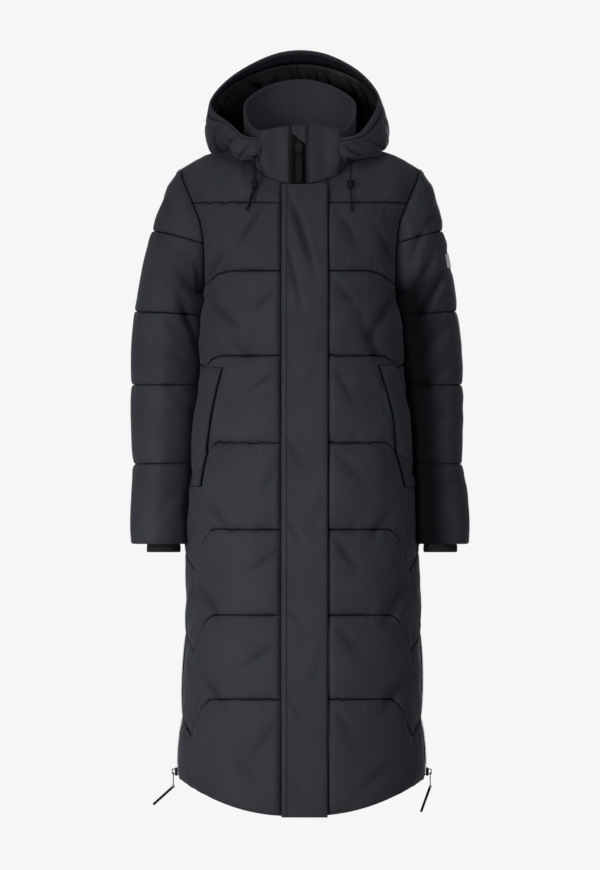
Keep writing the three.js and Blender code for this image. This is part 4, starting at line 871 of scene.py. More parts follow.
def sleeve_inner(side, z):
    """Distance from the middle to the sleeve's inner side: the armhole, or just clear of the body."""
    body = at_height(BODY, z, 1) + side * at_height(BODY, z, 4)
    below = UNDERARM_Z - z
    clear = body + GAP + BODY_PUFF * 0.6 * smooth(below / 40) + 2.4 * smooth((below - 60) / 200)
    return np.where(z >= UNDERARM_Z, at_height(ARM_EDGE, z, 1) + GAP, clear)


def sleeve_grid(side, w, level):
    """Points of a sleeve: w from -1 at the inner front round the outside to 1, at levels from the cuff up."""
    w, level = np.meshgrid(w, level)
    half_depth, forward, rise = (at_height(SLEEVE_ROWS, level, column) for column in (1, 2, 3))
    z = level + rise * (1 - w * w)
    inner = sleeve_inner(side, level)
    outer_x = np.maximum(at_height(SLEEVE_EDGE[side], z, 1), inner + 1.5)
    reach = np.maximum(arm_reach(level), 2.5)
    high = level > ARM_MIDDLE
    depth = np.where(high, reach, half_depth)
    under = np.pi - np.arcsin(np.clip(arm_reach(level) / depth, 0, 1))
    end = np.where(high, np.pi / 2, np.where(level > UNDERARM_Z, under, np.pi))
    radius = (outer_x - inner) / (1 - np.cos(end))
    turn = w * end
    # below the underarm the inner side is flattened against the body and wraps a little round its front
    inside = smooth(-1.6 * np.cos(turn)) * smooth((UNDERARM_Z - level) / 14)
    power = mix(1, 0.62, inside)
    across = np.sign(np.cos(turn)) * np.abs(np.cos(turn)) ** power
    y = -forward + depth * np.sign(turn) * np.abs(np.sin(turn)) ** power
    wrap = 10 * inside * bell(y + 48, 18)
    grid = np.stack([side * (outer_x - radius + radius * across - wrap), y, z], -1)
    return grid, w, level


SLEEVE_CREASES = {  # the two deepest lie at the inner elbow; a negative depth is a ridge
    -1: [(-232, -168, -184, -240, 7, -3.0), (-178, -176, -174, -212, 4, 5.0),
         (-206, -232, -176, -318, 6, 6.5), (-216, -262, -186, -300, 7, -2.6),
         (-240, -300, -190, -352, 8, 3.0), (-245, -120, -190, -165, 9, 2.6),
         (-225, -60, -196, -120, 8, 2.2), (-262, -250, -240, -306, 7, 1.8),
         (-222, -385, -184, -430, 7, 3.4), (-262, -330, -232, -378, 8, 2.0),
         (-270, -420, -215, -466, 9, 2.4), (-238, -470, -196, -508, 7, 2.4),
         (-275, -545, -225, -590, 9, 2.4), (-212, -560, -250, -620, 8, 2.0)],
    1: [(232, -72, 186, -168, 8, 3.6), (214, -120, 190, -214, 6, -2.8), (226, -160, 184, -252, 6, 4.6),
        (240, -190, 196, -296, 6, 6.0), (226, -262, 200, -330, 7, -2.6), (256, -268, 206, -348, 8, 3.2),
        (212, -60, 198, -110, 7, 2.2), (250, -350, 210, -392, 7, 3.0), (262, -420, 215, -470, 9, 2.6),
        (268, -540, 222, -590, 9, 2.4), (236, -572, 262, -622, 9, 1.8), (215, -380, 245, -430, 8, 2.0),
        (236, -470, 204, -512, 7, 2.2)]}


def quilted_sleeve(name, side, seed):
    """Builds one sleeve; below the underarm its rows are closed rings."""
    levels = np.concatenate([mix(a, b, BAND_SHARES) for a, b in zip(SLEEVE_SEAMS, SLEEVE_SEAMS[1:])]
                            + [[SLEEVE_SEAMS[-1]]])
    levels[np.argmin(np.abs(levels - UNDERARM_Z))] = UNDERARM_Z
    closed = int(np.argmin(np.abs(levels - UNDERARM_Z))) + 1
    grid, w, level = sleeve_grid(side, np.linspace(-1, 1, 111), levels)
    flip = side < 0
    normal = facing(grid, flip)
    normal[:closed - 1, [0, -1]] = (-side, 0, 0)
    band = np.clip(np.searchsorted(SLEEVE_SEAMS, level, "right") - 1, 0, len(SLEEVE_SEAMS) - 2)
    height = np.diff(SLEEVE_SEAMS)[band]
    share = np.clip((level - SLEEVE_SEAMS[band]) / height, 0, 1)
    open_top = smooth((level - UNDERARM_Z + 30) / 29)
    fade = 1 - mix(0.85, 1, open_top) * np.abs(w) ** 5
    along = w * 150
    lift = puff(share, height, along + 400 * np.round(band + share), seed, SLEEVE_PUFF)
    lift += 1.5 * noise(along, level, 46, seed + 4) * hump(share)
    front = smooth(-normal[..., 1] * 2 + 0.4)
    folded = creases(grid[..., 0], grid[..., 2], SLEEVE_CREASES[side]) * front
    folded += creases(-grid[..., 0], grid[..., 2], SLEEVE_CREASES[-side]) * (1 - front)
    move = (lift + folded) * fade * mix(0.15, 1, smooth((ARM_TOP - level) / 50))
    # under the patch the cloth keeps the plain filling
    patched = (side > 0) * smooth((w + 0.36) / 0.12) * smooth((0.22 - w) / 0.12)
    patched = patched * smooth((level + 216) / 12) * smooth((-164 - level) / 12)
    move = mix(move, SLEEVE_PUFF * hump(share), patched)
    outer = grid + normal * move[..., None]
    held = (np.abs(share - np.round(share)) < 0.02) | (np.abs(w) > 0.97) | (level > -18)
    freedom = SETTLE_SHARE * smooth((-25 - level) / 60) * smooth((1 - np.abs(w)) / 0.1) * (1 - patched)
    outer = settle(name + "_sim", outer, held, 4.0, flip, freedom)
    # painted shade: a dark line along each quilting seam, at the armhole's edge and in the deeper folds
    to_line = (share - np.round(share)) * height + seam_wiggle(along, 40 * np.round(band + share), seed)
    shade = bell(to_line, SEAM_SHADE_HALF) * (level < -18) * (level > CUFF_Z + 20)
    shade += bell((1 - np.abs(w)) * 110, 2.2) * (level > UNDERARM_Z)
    shade += 0.7 * fold_shade(folded, 1.4, 6.0)
    # painted shadow: the side that faces the body is darkened, as it lies in the body's shadow, more on the
    # wearer's left sleeve
    reach, full = (0.62, 0.9) if side > 0 else (0.2, 0.6)
    toward_body = smooth((reach - np.cos(np.pi * w)) / 0.95) * smooth((UNDERARM_Z + 50 - level) / 60)
    shade = np.maximum(shade, full * toward_body)
    finish_quilted(name, outer, grid, normal, len(SLEEVE_SEAMS) - 1, flip, shade, closed)


quilted_sleeve("sleeve_right", -1, 71)
quilted_sleeve("sleeve_left", 1, 91)

# inside each armhole a narrow binding covers the seam
BINDING_INSET, BINDING_HALF, BINDING_THICK = 3.0, 7.0, 1.0
for side, side_name in SIDES:
    turn, across = np.meshgrid(np.linspace(-np.pi, np.pi, 121), np.linspace(-1, 1, 9))
    half_height = ARM_TOP - ARM_MIDDLE
    on_seam = ARM_MIDDLE + half_height * np.cos(turn)
    seam_x = at_height(ARM_EDGE, on_seam, 1) + across * BINDING_HALF
    sunk = 0.25 * np.abs(across) * BINDING_HALF * smooth(np.cos(turn))
    ring = [np.stack([side * seam_x, (ARM_REACH - inset) * np.sin(turn),
                      ARM_MIDDLE + (half_height - inset) * np.cos(turn) - sunk], -1)
            for inset in (BINDING_INSET, BINDING_INSET + BINDING_THICK)]
    wall("armhole_binding_" + side_name, ring[0], ring[1], TAPE, side < 0, closed_rows=9, slot="lining")

# %% [markdown]
# ## Storm flap and pocket welts
# The flap is a doubled strip of cloth, sewn on the wearer's right and free on the left, where it stands a
# little off the front. It bends over the filling, so it has long shallow creases. The pocket welts are
# narrow doubled strips too, set into the front at a slant.

# %% Flap and welts
FLAP_TOP, FLAP_BOTTOM = -43, -1116
FLAP_STAND = (3.6, 8.5)
FLAP_THICK = 3.4
STRIP_EDGE = -22
FRONT_TOP = -45


def edge_round(share, power=8):
    """1 over the middle of a strip, falling to 0 in a quarter round at both edges."""
    return (1 - np.abs(2 * np.clip(share, 0, 1) - 1) ** power) ** 0.5


def thin_piece(name, base, outward, bottom, top, flat, material=SOFTSHELL, slot="shell",
               flip=False, closed_rows=0, shade=None):
    """A thin shell between two heights over a surface; its shown area is printed beside the size that it was
    cut to.
    """
    over, under = base + outward * top[..., None], base + outward * bottom[..., None]
    piece = wall(name + "_cloth", over, under, material, flip, closed_rows, shade, slot=slot)
    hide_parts(name)
    shown = sum(face.area for face in piece.data.polygons) / 2
    print(name, "shown area", round(shown, 4), "m2, cut", flat)


def over_front(x, z):
    """The front's surface, carried on level above the neck, and the way it faces."""
    base = front_point(x, np.minimum(z, FRONT_TOP))
    base[..., 2] = z
    return base, facing(base)


x, z = np.meshgrid(np.linspace(FLAP_SEWN, FLAP_FREE, 36), np.linspace(FLAP_BOTTOM, FLAP_TOP, 340))
share = (x - FLAP_SEWN) / (FLAP_FREE - FLAP_SEWN)
base, outward = over_front(x, z)
FLAP_CREASES = [(-19, -62, 12, -168, 6, 2.6), (-6, -80, 26, -200, 6, 2.4), (-22, -150, 6, -268, 6, 2.2),
                (-24, -330, 0, -362, 6, 1.3), (-24, -470, 6, -520, 7, 1.3), (40, -300, 18, -380, 8, 1.2),
                (-24, -610, 4, -652, 6, 1.4), (42, -560, 20, -640, 8, 1.2), (-24, -760, 8, -800, 7, 1.3),
                (-24, -905, 4, -950, 6, 1.4), (40, -820, 16, -900, 8, 1.2), (-22, -1030, 6, -1080, 7, 1.2)]
stand = mix(*FLAP_STAND, smooth(share)) + share * noise(z, x * 0.2, 75, 3)
fold = creases(x, z, FLAP_CREASES) + 0.5 * noise(x + 0.5 * z, z, 38, 5)
pinch = 0.7 * noise(z, x * 0.3, 9, 7) * np.exp(-(x - FLAP_SEWN) / 16)
top = stand + FLAP_THICK * (0.3 + 0.7 * edge_round(share, 12)) + (fold + pinch) * edge_round(share, 4)
# painted shade in the flap's deeper folds
thin_piece("storm_flap", base, outward, stand + np.minimum(0, fold * 0.3), top, (0.079, 1.09),
           shade=0.45 * fold_shade(fold, 0.4, 2.6))

strip = np.linspace(FLAP_SEWN, STRIP_EDGE, 14)
xs, zs = np.meshgrid(strip, z[:, 0])
strip_base, strip_out = over_front(xs, zs)
strip_top = np.stack([np.interp(strip, x[0], row) for row in top])
strip_share = (xs - FLAP_SEWN) / (STRIP_EDGE - FLAP_SEWN)
thin_piece("flap_strip", strip_base, strip_out, strip_top + 0.2,
           strip_top + 0.5 + 1.2 * edge_round(strip_share, 6) + 0.2 * noise(zs, xs, 7, 8), (0.011, 1.09))
strip_face = strip_base + strip_out * (strip_top + 1.7)[..., None]
stitches("flap_stitches", [(strip_face[:, k], strip_out[:, k]) for k in (2, -3)])

for side, side_name in SIDES:
    rows = WELTS[side]
    across, z = np.meshgrid(np.linspace(0, 1, 24), np.linspace(rows[0, 0], rows[-1, 0], 124))
    width = at_height(rows, z, 2)
    x = at_height(rows, z, 1) + side * across * width
    base = front_point(x, z)
    outward = facing(base, side < 0)
    fill = front_puff(side, x, z)
    to_end = np.minimum(z - rows[0, 0], rows[-1, 0] - z)
    ends = smooth(to_end / 12 + 0.3)
    body = 4.2 * edge_round(mix(0.02, 0.98, across), 5) * ends
    fold = 0.7 * noise(z, across * 20, 24, 12 + side) + 0.5 * noise(z + 30 * across, x * 0, 9, 14 + side)
    pull = fold * edge_round(across, 4) * ends
    # painted shade along the welt's opening, its ends and its outer edge, and in its folds
    shade = 0.95 * bell(across * width, 1.5) + 0.8 * bell(to_end, 1.3)
    shade += 0.7 * bell((1 - across) * width, 1.1) + 0.6 * fold_shade(pull, 0.3, 1.5)
    thin_piece("pocket_welt_" + side_name, base, outward, fill + 1.2, fill + 1.6 + body + pull,
               (0.042, 0.214), flip=side < 0, shade=shade)
    raised = base + outward * (fill + 1.7 + body + pull)[..., None]
    stitches("welt_stitches_" + side_name, [(raised[:, k], outward[:, k]) for k in (2, -4)])
print("flap and welts done")

# %% [markdown]
# ## Collar
# The stand collar rises from the neck seam all round, low at the front and highest behind. Its two front
# ends lie over the hood's ends, and a small guard folds over the top of the zip. A facing is stitched
# inside along its upper edge.

# %% Collar
COLLAR_TOP = np.array([(0, 56), (20, 54), (38, 47), (60, 56), (80, 80), (95, 96), (120, 112), (135, 123),
                       (150, 132), (165, 138.5), (180, 141)])
TOP_HALF, TOP_Y, TOP_REACH = 97, -8, 80
TAB_LIFT, TAB_THICK = 3.4, 3.8


def collar_point(angle, v):
    """A point of the collar: the neck seam and the top edge, mixed by v."""
    turn = np.where(np.abs(angle) > 180, 360 - np.abs(angle), np.abs(angle))
    height = sum(np.interp(np.abs(turn + d), *COLLAR_TOP.T) for d in (-6, -3, 0, 3, 6)) / 5
    a = np.radians(angle)
    top = np.stack([TOP_HALF * np.sin(a), TOP_Y - TOP_REACH * np.cos(a), height], -1)
    low = neck_point(angle) + np.array([0, 0, 0.6])
    return mix(low, top, np.asarray(v)[..., None])


def collar_out(angle):
    a = np.radians(angle)
    return unit(np.stack([np.sin(a) * TOP_REACH, -np.cos(a) * TOP_HALF, 0 * a], -1))


def collar_angle(x):
    return np.degrees(np.arcsin(x / (NECK_HALF + 1)))


angle, v = np.meshgrid(np.linspace(collar_angle(ZIP_X + ZIP_HALF), 360 + collar_angle(ZIP_X - ZIP_HALF), 250),
                       np.linspace(0, 1, 44))
base = collar_point(angle, v)
outward = collar_out(angle)
drop = (1 - v) * np.linalg.norm(base[-1] - base[0], axis=-1)[None]
FACING_SEAMS = (10, 14)
facing_seam = bell(drop - FACING_SEAMS[0], 1.3) + 0.6 * bell(drop - FACING_SEAMS[1], 1.2)
soft = 1.1 * noise(angle * 1.6, v * 60, 26, 21) + 0.5 * noise(angle * 1.6, v * 40, 9, 22)
swell = (2.2 + soft) * edge_round(v, 5) * smooth(drop / 4)
inner = -3.2 - swell + 1.1 * facing_seam
thin_piece("collar", base, outward, inner, -0.5 - 0.8 * (1 - edge_round(v, 14)), (0.53, 0.16))
for row_drop in FACING_SEAMS:
    row = [int(np.argmin(np.abs(drop[:, k] - row_drop))) for k in range(drop.shape[1])]
    pick = np.arange(drop.shape[1])
    line = base[row, pick] + outward[row, pick] * (inner[row, pick] - 0.1)[:, None]
    stitches("collar_stitches_" + str(row_drop), [(line, -outward[row, pick])])


def collar_piece(name, x_from, x_to, low, reach, lift, thick, flat, seam_at, seed, flare=0.0):
    """A padded strip over the front of the collar, with a crosswise seam where the photograph has one. Its
    lower edge runs from low[0] to low[1], and its outer edge stands out by the flare, over the hood's end."""
    across, up = np.meshgrid(np.linspace(0, 1, 44), np.linspace(0, 1, 60))
    angle = collar_angle(mix(x_from, x_to, across))
    v = mix(mix(*low, across), reach, up)
    base, outward = collar_point(angle, v), collar_out(angle)
    x = base[..., 0]
    outer_share = 1 - across if x_from < -20 else across
    lift = lift + flare * smooth((outer_share - 0.45) / 0.5) * (0.45 + 0.55 * smooth(up * 3))
    lift = lift + 0.9 * noise(v * 90, 3 + 0 * v, 24, seed + 5) * smooth((outer_share - 0.6) / 0.4)
    body = thick * (0.35 + 0.65 * edge_round(across, 6) * edge_round(up, 6))
    soft = 0.9 * noise(x, v * 90, 17, seed) + 0.5 * noise(x + v * 60, v * 90, 8, seed + 1)
    seam = bell((v - seam_at) * 90, 1.6)
    body = body + soft * edge_round(across, 3) * edge_round(up, 3) - 1.4 * seam * edge_round(across, 10)
    thin_piece(name, base, outward, lift + 0 * body, lift + body, flat)
    return base, outward, lift + body


NO_SEAM = -9
for name, x_from, x_to, reach, seam_at, seed in (("collar_tab_right", -60, -18, 1.03, NO_SEAM, 31),
                                                 ("collar_tab_left", 16, 60, 1.06, 0.56, 33)):
    base, outward, top = collar_piece(name, x_from, x_to, (-0.02, -0.02), reach, TAB_LIFT, TAB_THICK,
                                      (0.05, 0.1), seam_at, seed, 10.5)
    raised = base + outward * top[..., None]
    edge = 2 if x_from > 0 else -3
    stitches(name + "_stitches", [(raised[:, edge], outward[:, edge]), (raised[-3], outward[-3])])
collar_piece("chin_guard", -14, 10, (0.9, 0.7), 1.04, 0.6, 1.9, (0.025, 0.02), NO_SEAM, 35)
print("collar done")

# %% [markdown]
# ## Hood
# The hood is two sides and a centre strip, with a lining inside. Each cross line bends from the rim over
# the widest line down to the foot beside the collar, as a quadratic curve. The rim carries the drawcord in
# a hem, so the cloth beside it is gathered.

# %% Hood
# One row for each cross line: its place on the rim, on the widest line, and in degrees on the neck seam.
# Both ends are tucked under the ends of the collar.
HOOD = np.array([
    (-44, -74, 40, -46, -76, 8, -32), (-71, -86, 37, -76, -95.2, 9, -60), (-95, -82, 42, -104, -77, 8, -68),
    (-118, -62, 62, -129, -52, 38, -80), (-150, -28, 86, -148, -14, 15, -92),
    (-150, 8, 109, -145, 62, 36, -112), (-111, 36, 149, -118, 124, 50, -135),
    (-33, 52, 186, -44, 166, 54, -162), (34, 52, 186, 44, 166, 54, -198), (99, 38, 155, 114, 124, 50, -225),
    (134, 8, 113, 142, 62, 38, -248), (130, -26, 84, 146, -6, 25, -268), (100, -64, 46, 134, -46, 14, -280),
    (73, -84, 37, 82, -90.6, 6, -300), (44, -74, 40, 46, -76, 8, -328)])
LAST = len(HOOD) - 1
# Seams between the sides and the centre, and how far in the lining starts, as numbers of cross lines
HOOD_SEAMS = (6.35, 8.66)
SEAM_GAP = 0.001
LINING_ENDS = 1.3
# The lining's middle seam, by the same count
LINING_MIDDLE = 7.45
# Shares of the way from the rim to the foot: the lining's two edges, its cross seam, and the hem's seam
LINING_FROM, LINING_TO, LINING_SEAM, HEM_AT = 0.055, 6 / 7, 0.17, 0.15
RIM_LENGTH = 64.0
HOOD_WALL = 2.5
LINING_GAP = 1.4
LINING_WALL = 1.5
HOOD_FOOT_RISE = 10


def hood_point(t, s):
    """Rim to foot: rim (1-s)^2 + knee 2s(1-s) + foot s^2, with the knee set so that the widest line is in
    the middle."""
    rim, wide = curve_at(HOOD[:, :3], t / LAST), curve_at(HOOD[:, 3:6], t / LAST)
    angle = np.interp(t, np.arange(LAST + 1), HOOD[:, 6])
    off = mix(2.6, 0.7, smooth(np.minimum(t, LAST - t) / 2))
    foot = neck_point(angle) + collar_out(angle) * off[..., None] + np.array([0, 0, HOOD_FOOT_RISE])
    s = s[..., None]
    return rim * (1 - s) ** 2 + (2 * wide - rim / 2 - foot / 2) * 2 * s * (1 - s) + foot * s ** 2


def hood_grid(t_from, t_to, columns, s_from, s_to, rows):
    t, s = np.meshgrid(np.linspace(t_from, t_to, columns), np.linspace(s_from, s_to, rows))
    grid = hood_point(t, s)
    return grid, facing(grid), t, s


# Creases of the hood and its lining: along the rim and across to the foot in mm, from and to, then the
# width and depth. Those of the lining are on the inside of the hem too.
HOOD_CREASES = [
    (95, 10, 130, 70, 9, 2.4), (150, 8, 175, 75, 10, 2.2), (215, 10, 240, 90, 10, 2.2),
    (300, 8, 320, 90, 10, 2.0), (420, 6, 430, 80, 9, 1.6), (520, 8, 512, 80, 9, 1.4),
    (600, 8, 590, 80, 9, 1.6), (690, 8, 660, 90, 10, 2.2), (770, 10, 735, 80, 10, 2.4),
    (840, 8, 800, 70, 9, 2.4)]
LINING_CREASES = [
    (466, 6, 478, 60, 3.4, 3.6), (480, 14, 470, 70, 4.2, 3.8), (492, 8, 500, 44, 3.0, 3.2),
    (507, 12, 497, 64, 3.8, 3.8), (519, 6, 532, 52, 3.4, 3.2), (448, 18, 424, 60, 5.0, 3.4),
    (402, 10, 436, 36, 5.4, 3.2), (372, 14, 338, 56, 5.0, 3.4), (330, 8, 352, 40, 4.4, 2.8),
    (300, 16, 270, 70, 5.0, 3.6), (262, 10, 248, 62, 4.6, 3.2), (556, 12, 582, 66, 4.6, 3.8),
    (574, 10, 610, 56, 4.2, 3.8), (592, 16, 600, 82, 4.0, 3.6), (616, 8, 638, 60, 4.2, 4.0),
    (632, 14, 652, 84, 4.6, 4.0), (660, 8, 668, 60, 4.0, 3.4), (688, 14, 700, 80, 4.6, 3.6),
    (722, 10, 716, 60, 4.4, 3.0), (222, 14, 228, 70, 4.4, 3.2), (188, 10, 206, 60, 4.6, 3.0)]


def rim_ends(t):
    """0 at the hood's two tucked ends, 1 from a cross line and a half on."""
    return smooth((np.minimum(t, LAST - t) - 0.3) / 1.2)


for name, t_from, t_to, columns in (("hood_side_right", 0, HOOD_SEAMS[0] - SEAM_GAP, 160),
                                    ("hood_centre", HOOD_SEAMS[0] + SEAM_GAP, HOOD_SEAMS[1] - SEAM_GAP, 70),
                                    ("hood_side_left", HOOD_SEAMS[1] + SEAM_GAP, LAST, 140)):
    grid, outward, t, s = hood_grid(t_from, t_to, columns, 0, 1, 57)
    share = (t - t_from) / (t_to - t_from)
    # only the seams beside the centre strip pull in; the tucked ends stay flat
    seam_pull = edge_round(np.where(np.minimum(t, LAST - t) < 1.5, 0.5, share), 14)
    hem = bell(s - HEM_AT, 0.012)
    along = t * RIM_LENGTH
    gather = noise(along, s * 9, 9, 41) * np.exp(-np.abs(s - HEM_AT) / 0.1)
    slow = noise(along, s * 120, 55, 42) + 0.5 * noise(along, s * 120, 22, 43)
    fold = creases(along, s * 110, HOOD_CREASES)
    lift = 3.0 * edge_round(s, 6) * seam_pull + (fold + 1.4 * slow + 1.1 * gather) * edge_round(s, 4)
    lift = np.maximum(lift - 1.8 * hem, -1.0) * rim_ends(t)
    inside = creases(along, s * 200, LINING_CREASES) * edge_round(np.minimum(s / 0.13, 0.5), 3)
    facing_folds = 0.55 * np.clip(inside, -4, 2) * smooth((0.052 - s) / 0.02)
    thick = mix(2.0, HOOD_WALL + 0.6 - facing_folds, rim_ends(t))
    on_facing = s < LINING_FROM + 0.005
    # painted shade: in the facing's folds, a dark line where the lining starts and in the hood's deeper
    # folds; the inner side of the facing band is darkened all over, as it lies in the hood's shadow
    shade = 0.85 * fold_shade(inside, 0.6, 3.2) * on_facing + 0.8 * bell(s - LINING_FROM, 0.006)
    shade += 0.5 * fold_shade(fold, 0.5, 2.6) * (s > 0.1)
    inner_shade = shade + 0.6 * smooth((s - 0.005) / 0.01) * on_facing
    over, under = grid + outward * lift[..., None], grid - outward * thick[..., None]
    piece = wall(name + "_cloth", over, under, SOFTSHELL, shade=np.stack([shade, inner_shade]))
    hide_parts(name)
    row = int(np.argmin(np.abs(s[:, 0] - HEM_AT)))
    stitches(name + "_stitches", [(over[row], outward[row])])

grid, outward, t, s = hood_grid(LINING_ENDS, LAST - LINING_ENDS, 290, LINING_FROM, LINING_TO, 54)
to_end = np.minimum(t, LAST - t) - LINING_ENDS
seam = bell(s - LINING_SEAM, 0.01) + bell(t - LINING_MIDDLE, 0.02) * (s < LINING_SEAM)
along = t * RIM_LENGTH
tight = bell(t - 9.8, 0.9) + 0.7 * bell(t - 7.6, 0.6) + 0.35
gather = noise(along + 40 * s, s * 16, 9, 51) * tight * np.exp(-np.abs(s - HEM_AT) / 0.1)
slow = noise(along + 150 * s, s * 60, 40, 52) + 0.6 * noise(along - 120 * s, s * 110, 17, 53)
loose = edge_round(s, 5) * np.minimum(1, to_end * 2)
fold = creases(along + 14 * noise(s * 200, 0 * s, 26, 55), s * 200, LINING_CREASES)
fold = fold * smooth((s - 0.06) / 0.045)
sag = np.clip(3.4 + (2.0 * slow + 1.2 * gather + 1.1 * fold) * loose - 2.0 * seam, 0, 9)
# the front edge is sewn into the hem's seam, flush with the hood's own inner side
sewn = smooth((s - LINING_FROM) / 0.03) * smooth(to_end / 0.15)
depth = mix(HOOD_WALL - 0.8, HOOD_WALL + LINING_GAP + sag, sewn)
thick = mix(0.9, LINING_WALL, sewn)
# painted shade in the lining's deeper folds and a dark line along its front edge
thin_piece("hood_lining", grid, outward, -depth - thick, -depth, (0.72, 0.12), LINING, "lining",
           shade=0.9 * fold_shade(fold, 0.6, 3.2) + 0.9 * bell(s - 0.06, 0.01))
row = int(np.argmin(np.abs(s[:, 0] - LINING_SEAM)))
under = grid[row] - outward[row] * (depth[row] + LINING_WALL + 0.1)[:, None]
stitches("lining_stitches", [(under, -outward[row])], slot="lining")
print("hood done")

# %% [markdown]
# ## Rib cuffs
# A knitted tube sits inside each sleeve end. Its ribs are sixty waves round the tube.

# %% Rib cuffs
RIBS = 60
RIB_HALF, RIB_DEPTH, RIB_FORWARD = 29, 36, 13
RIB_SHOWING, RIB_HIDDEN, RIB_ROWS = 14, 52, 24
RIB_WIDENS = 5.5
for side, side_name in SIDES:
    turn, z = np.meshgrid(np.linspace(-np.pi, np.pi, RIBS * 6 + 1),
                          np.linspace(CUFF_Z - RIB_SHOWING, CUFF_Z + RIB_HIDDEN, RIB_ROWS))
    middle = float(sleeve_inner(side, CUFF_Z)) + WALL + 1.4 + RIB_HALF
    out = np.stack([side * np.cos(turn), np.sin(turn), 0 * z], -1)
    tube = np.stack([side * (middle + RIB_HALF * np.cos(turn)),
                     -RIB_FORWARD + RIB_DEPTH * np.sin(turn), z], -1)
    tube += out * (RIB_WIDENS * smooth((z - CUFF_Z - 20) / 32))[..., None]
    wave = 0.8 * (0.5 - 0.5 * np.cos(turn * RIBS)) + 0.15 * noise(turn * 30, z, 5, 61)
    fold_in = 0.9 * (1 - edge_round(mix(0, 0.5, (z - CUFF_Z + RIB_SHOWING) / 6), 3))
    thin_piece("rib_cuff_" + side_name, tube, out, -2.4 + 0 * z, -wave - fold_in, (0.21, 0.066),
               RIB_KNIT, "rib_knit", side < 0, closed_rows=RIB_ROWS)
print("rib cuffs done")

# %% [markdown]
# ## Zip teeth
# The teeth of each zip are small blocks that mesh alternately from the left and the right.

# %% Zip teeth
TOOTH_PITCH = 2.1
FRONT_ZIP_LENGTH = 92
SIDE_ZIP_TOP, SIDE_ZIP_BOTTOM = -804, -1046
# over the filling: the tape's seat, its thickness, and half a tooth's stand
SIDE_TEETH_RISE = 0.7 + 1.8 + 0.6


def teeth(name, place, across, out, sizes):
    """Blocks that mesh: every second one comes from the other side."""
    hand = np.where(np.arange(len(place)) % 2, 1.0, -1.0)[:, None]
    beads(name, place + across * hand, across, out, sizes, TEETH_PLASTIC, "zip_tape", 0.5)


v = np.arange(0.03, 0.97, TOOTH_PITCH / FRONT_ZIP_LENGTH)
zip_angle = collar_angle(np.full(len(v), float(ZIP_X)))
place, out = collar_point(zip_angle, v), collar_out(zip_angle)
across = np.cross(unit(np.gradient(place, axis=0)), out)
teeth("front_zip_teeth", place + out * 1.2, across, out, (4.0, 2.0, 1.5))
for side, side_name in SIDES:
    z = np.arange(SIDE_ZIP_BOTTOM, SIDE_ZIP_TOP, TOOTH_PITCH)
    half, _, middle, _ = section(z, -1)
    fill = SEAM_PUFF * hump(band_share(np.ones(len(z)), z)[1])
    x = side * (half + fill + SIDE_TEETH_RISE) + middle
    teeth("side_zip_teeth_" + side_name, np.stack([x, 0 * z, z], 1), np.tile([0.0, 1, 0], (len(z), 1)),
          np.tile([side, 0.0, 0], (len(z), 1)), (3.6, 1.8, 1.5))
print("zip teeth done")

# %% [markdown]
# ## Finishes for the pieces kept from the frame
# Sliders, links, tabs, eyelets, stoppers, tips and tapes keep their exact solids and get their own finish.

# %% Finishes for kept pieces
KEPT = [("_slider", GUNMETAL), ("_link", GUNMETAL), ("eyelet_", GUNMETAL), ("_tab", RUBBER), ("tip_", RUBBER),
        ("stopper_", RUBBER), ("front_zip", TAPE), ("side_zip", TAPE), ("sleeve_patch", PATCH_CLOTH)]
own_pieces = ("_cloth", "_stitches", "_teeth")
for piece in bpy.data.objects:
    if piece.type != "MESH" or any(word in piece.name for word in own_pieces):
        continue
    for word, material in KEPT:
        if word in piece.name and not piece.name.startswith("collar_tab"):
            piece.data.materials.clear()
            piece.data.materials.append(material)
            print(piece.name, material.name)

# %% [markdown]
# ## Stage and light
# The coat hangs before white paper, over a pale floor. The main soft light stands in front on the viewer's
# left, with a narrow one below it for the hem. Weaker lights stand straight in front, high on the right,
# overhead and behind.

# %% Stage
def plane(name, corners, material):
    """A rectangle of the stage, in metres."""
    mesh = bpy.data.meshes.new(name)
    mesh.from_pydata([tuple(c) for c in corners], [], [(0, 1, 2, 3)])
    mesh.materials.append(material)
    piece = bpy.data.objects.new(name, mesh)
    bpy.context.scene.collection.objects.link(piece)
    return piece


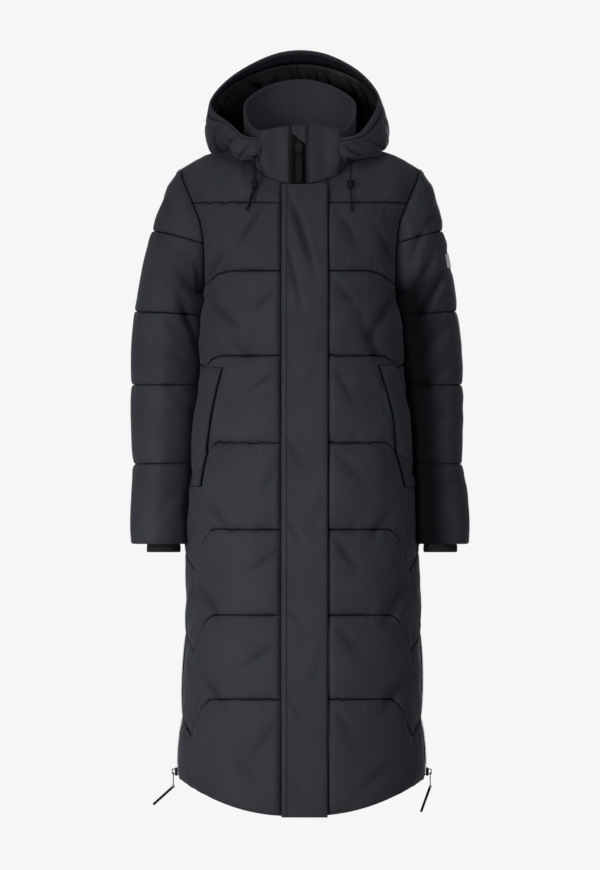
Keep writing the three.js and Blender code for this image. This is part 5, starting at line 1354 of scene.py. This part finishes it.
def area_light(name, place, aim, size, power, colour, spread=180):
    """A square soft light in metres and watts, turned to face a point, its spread in degrees."""
    data = bpy.data.lights.new(name, "AREA")
    data.size = size
    data.energy = power
    data.spread = np.radians(spread)
    data.color = linear(colour)[:3]
    lamp = bpy.data.objects.new(name, data)
    lamp.location = place
    lamp.rotation_euler = (Vector(aim) - Vector(place)).to_track_quat("-Z", "Y").to_euler()
    bpy.context.scene.collection.objects.link(lamp)


FLOOR = plain_finish("pale_floor_paint", "e6e6e6", 0.8, 0.0, 300.0, 0.05, 0.2)
PAPER, paper_tree = new_material("white_paper")
finish_material(paper_tree, node(paper_tree, "ShaderNodeEmission", Color=linear("f6f6f6"), Strength=1.0))
# in metres: half the stage's width, its back and front, and the floor's height
STAGE_HALF, STAGE_BACK, STAGE_FRONT, FLOOR_Z = 2.4, 5, -2.6, -1.36
corners = ((-STAGE_HALF, 0), (STAGE_HALF, 0), (STAGE_HALF, 1), (-STAGE_HALF, 1))
plane("backdrop", [(x, STAGE_BACK, mix(-3, 2.6, up)) for x, up in corners], PAPER)
plane("floor", [(x, mix(STAGE_FRONT, STAGE_BACK, back), FLOOR_Z) for x, back in corners], FLOOR)
area_light("key_light", (-3.0, -3.6, 0.6), (0, 0, -0.5), 1.3, 96, "fffdfa")
area_light("front_light", (-0.6, -5.5, -0.4), (0, 0, -0.6), 0.9, 44, "f8faff")
area_light("low_light", (-2.2, -2.6, -1.2), (-0.1, 0, -0.86), 0.8, 2.4, "fffefb", 32)
area_light("fill_light", (3.0, -3.0, 1.4), (0.1, 0, 0), 1.2, 3, "eef3ff", 50)
area_light("back_light", (0.9, 4.4, 0.6), (0, 0, -0.4), 1.6, 60, "f8faff")
area_light("top_light", (-0.2, -0.9, 2.8), (0, 0, -0.3), 1.2, 12, "ffffff")
world = bpy.data.worlds.new("room")
world.use_nodes = True
world.node_tree.nodes["Background"].inputs["Color"].default_value = linear("e8ebef")
world.node_tree.nodes["Background"].inputs["Strength"].default_value = 0.16
bpy.context.scene.world = world
bpy.context.scene.view_settings.view_transform = "Standard"
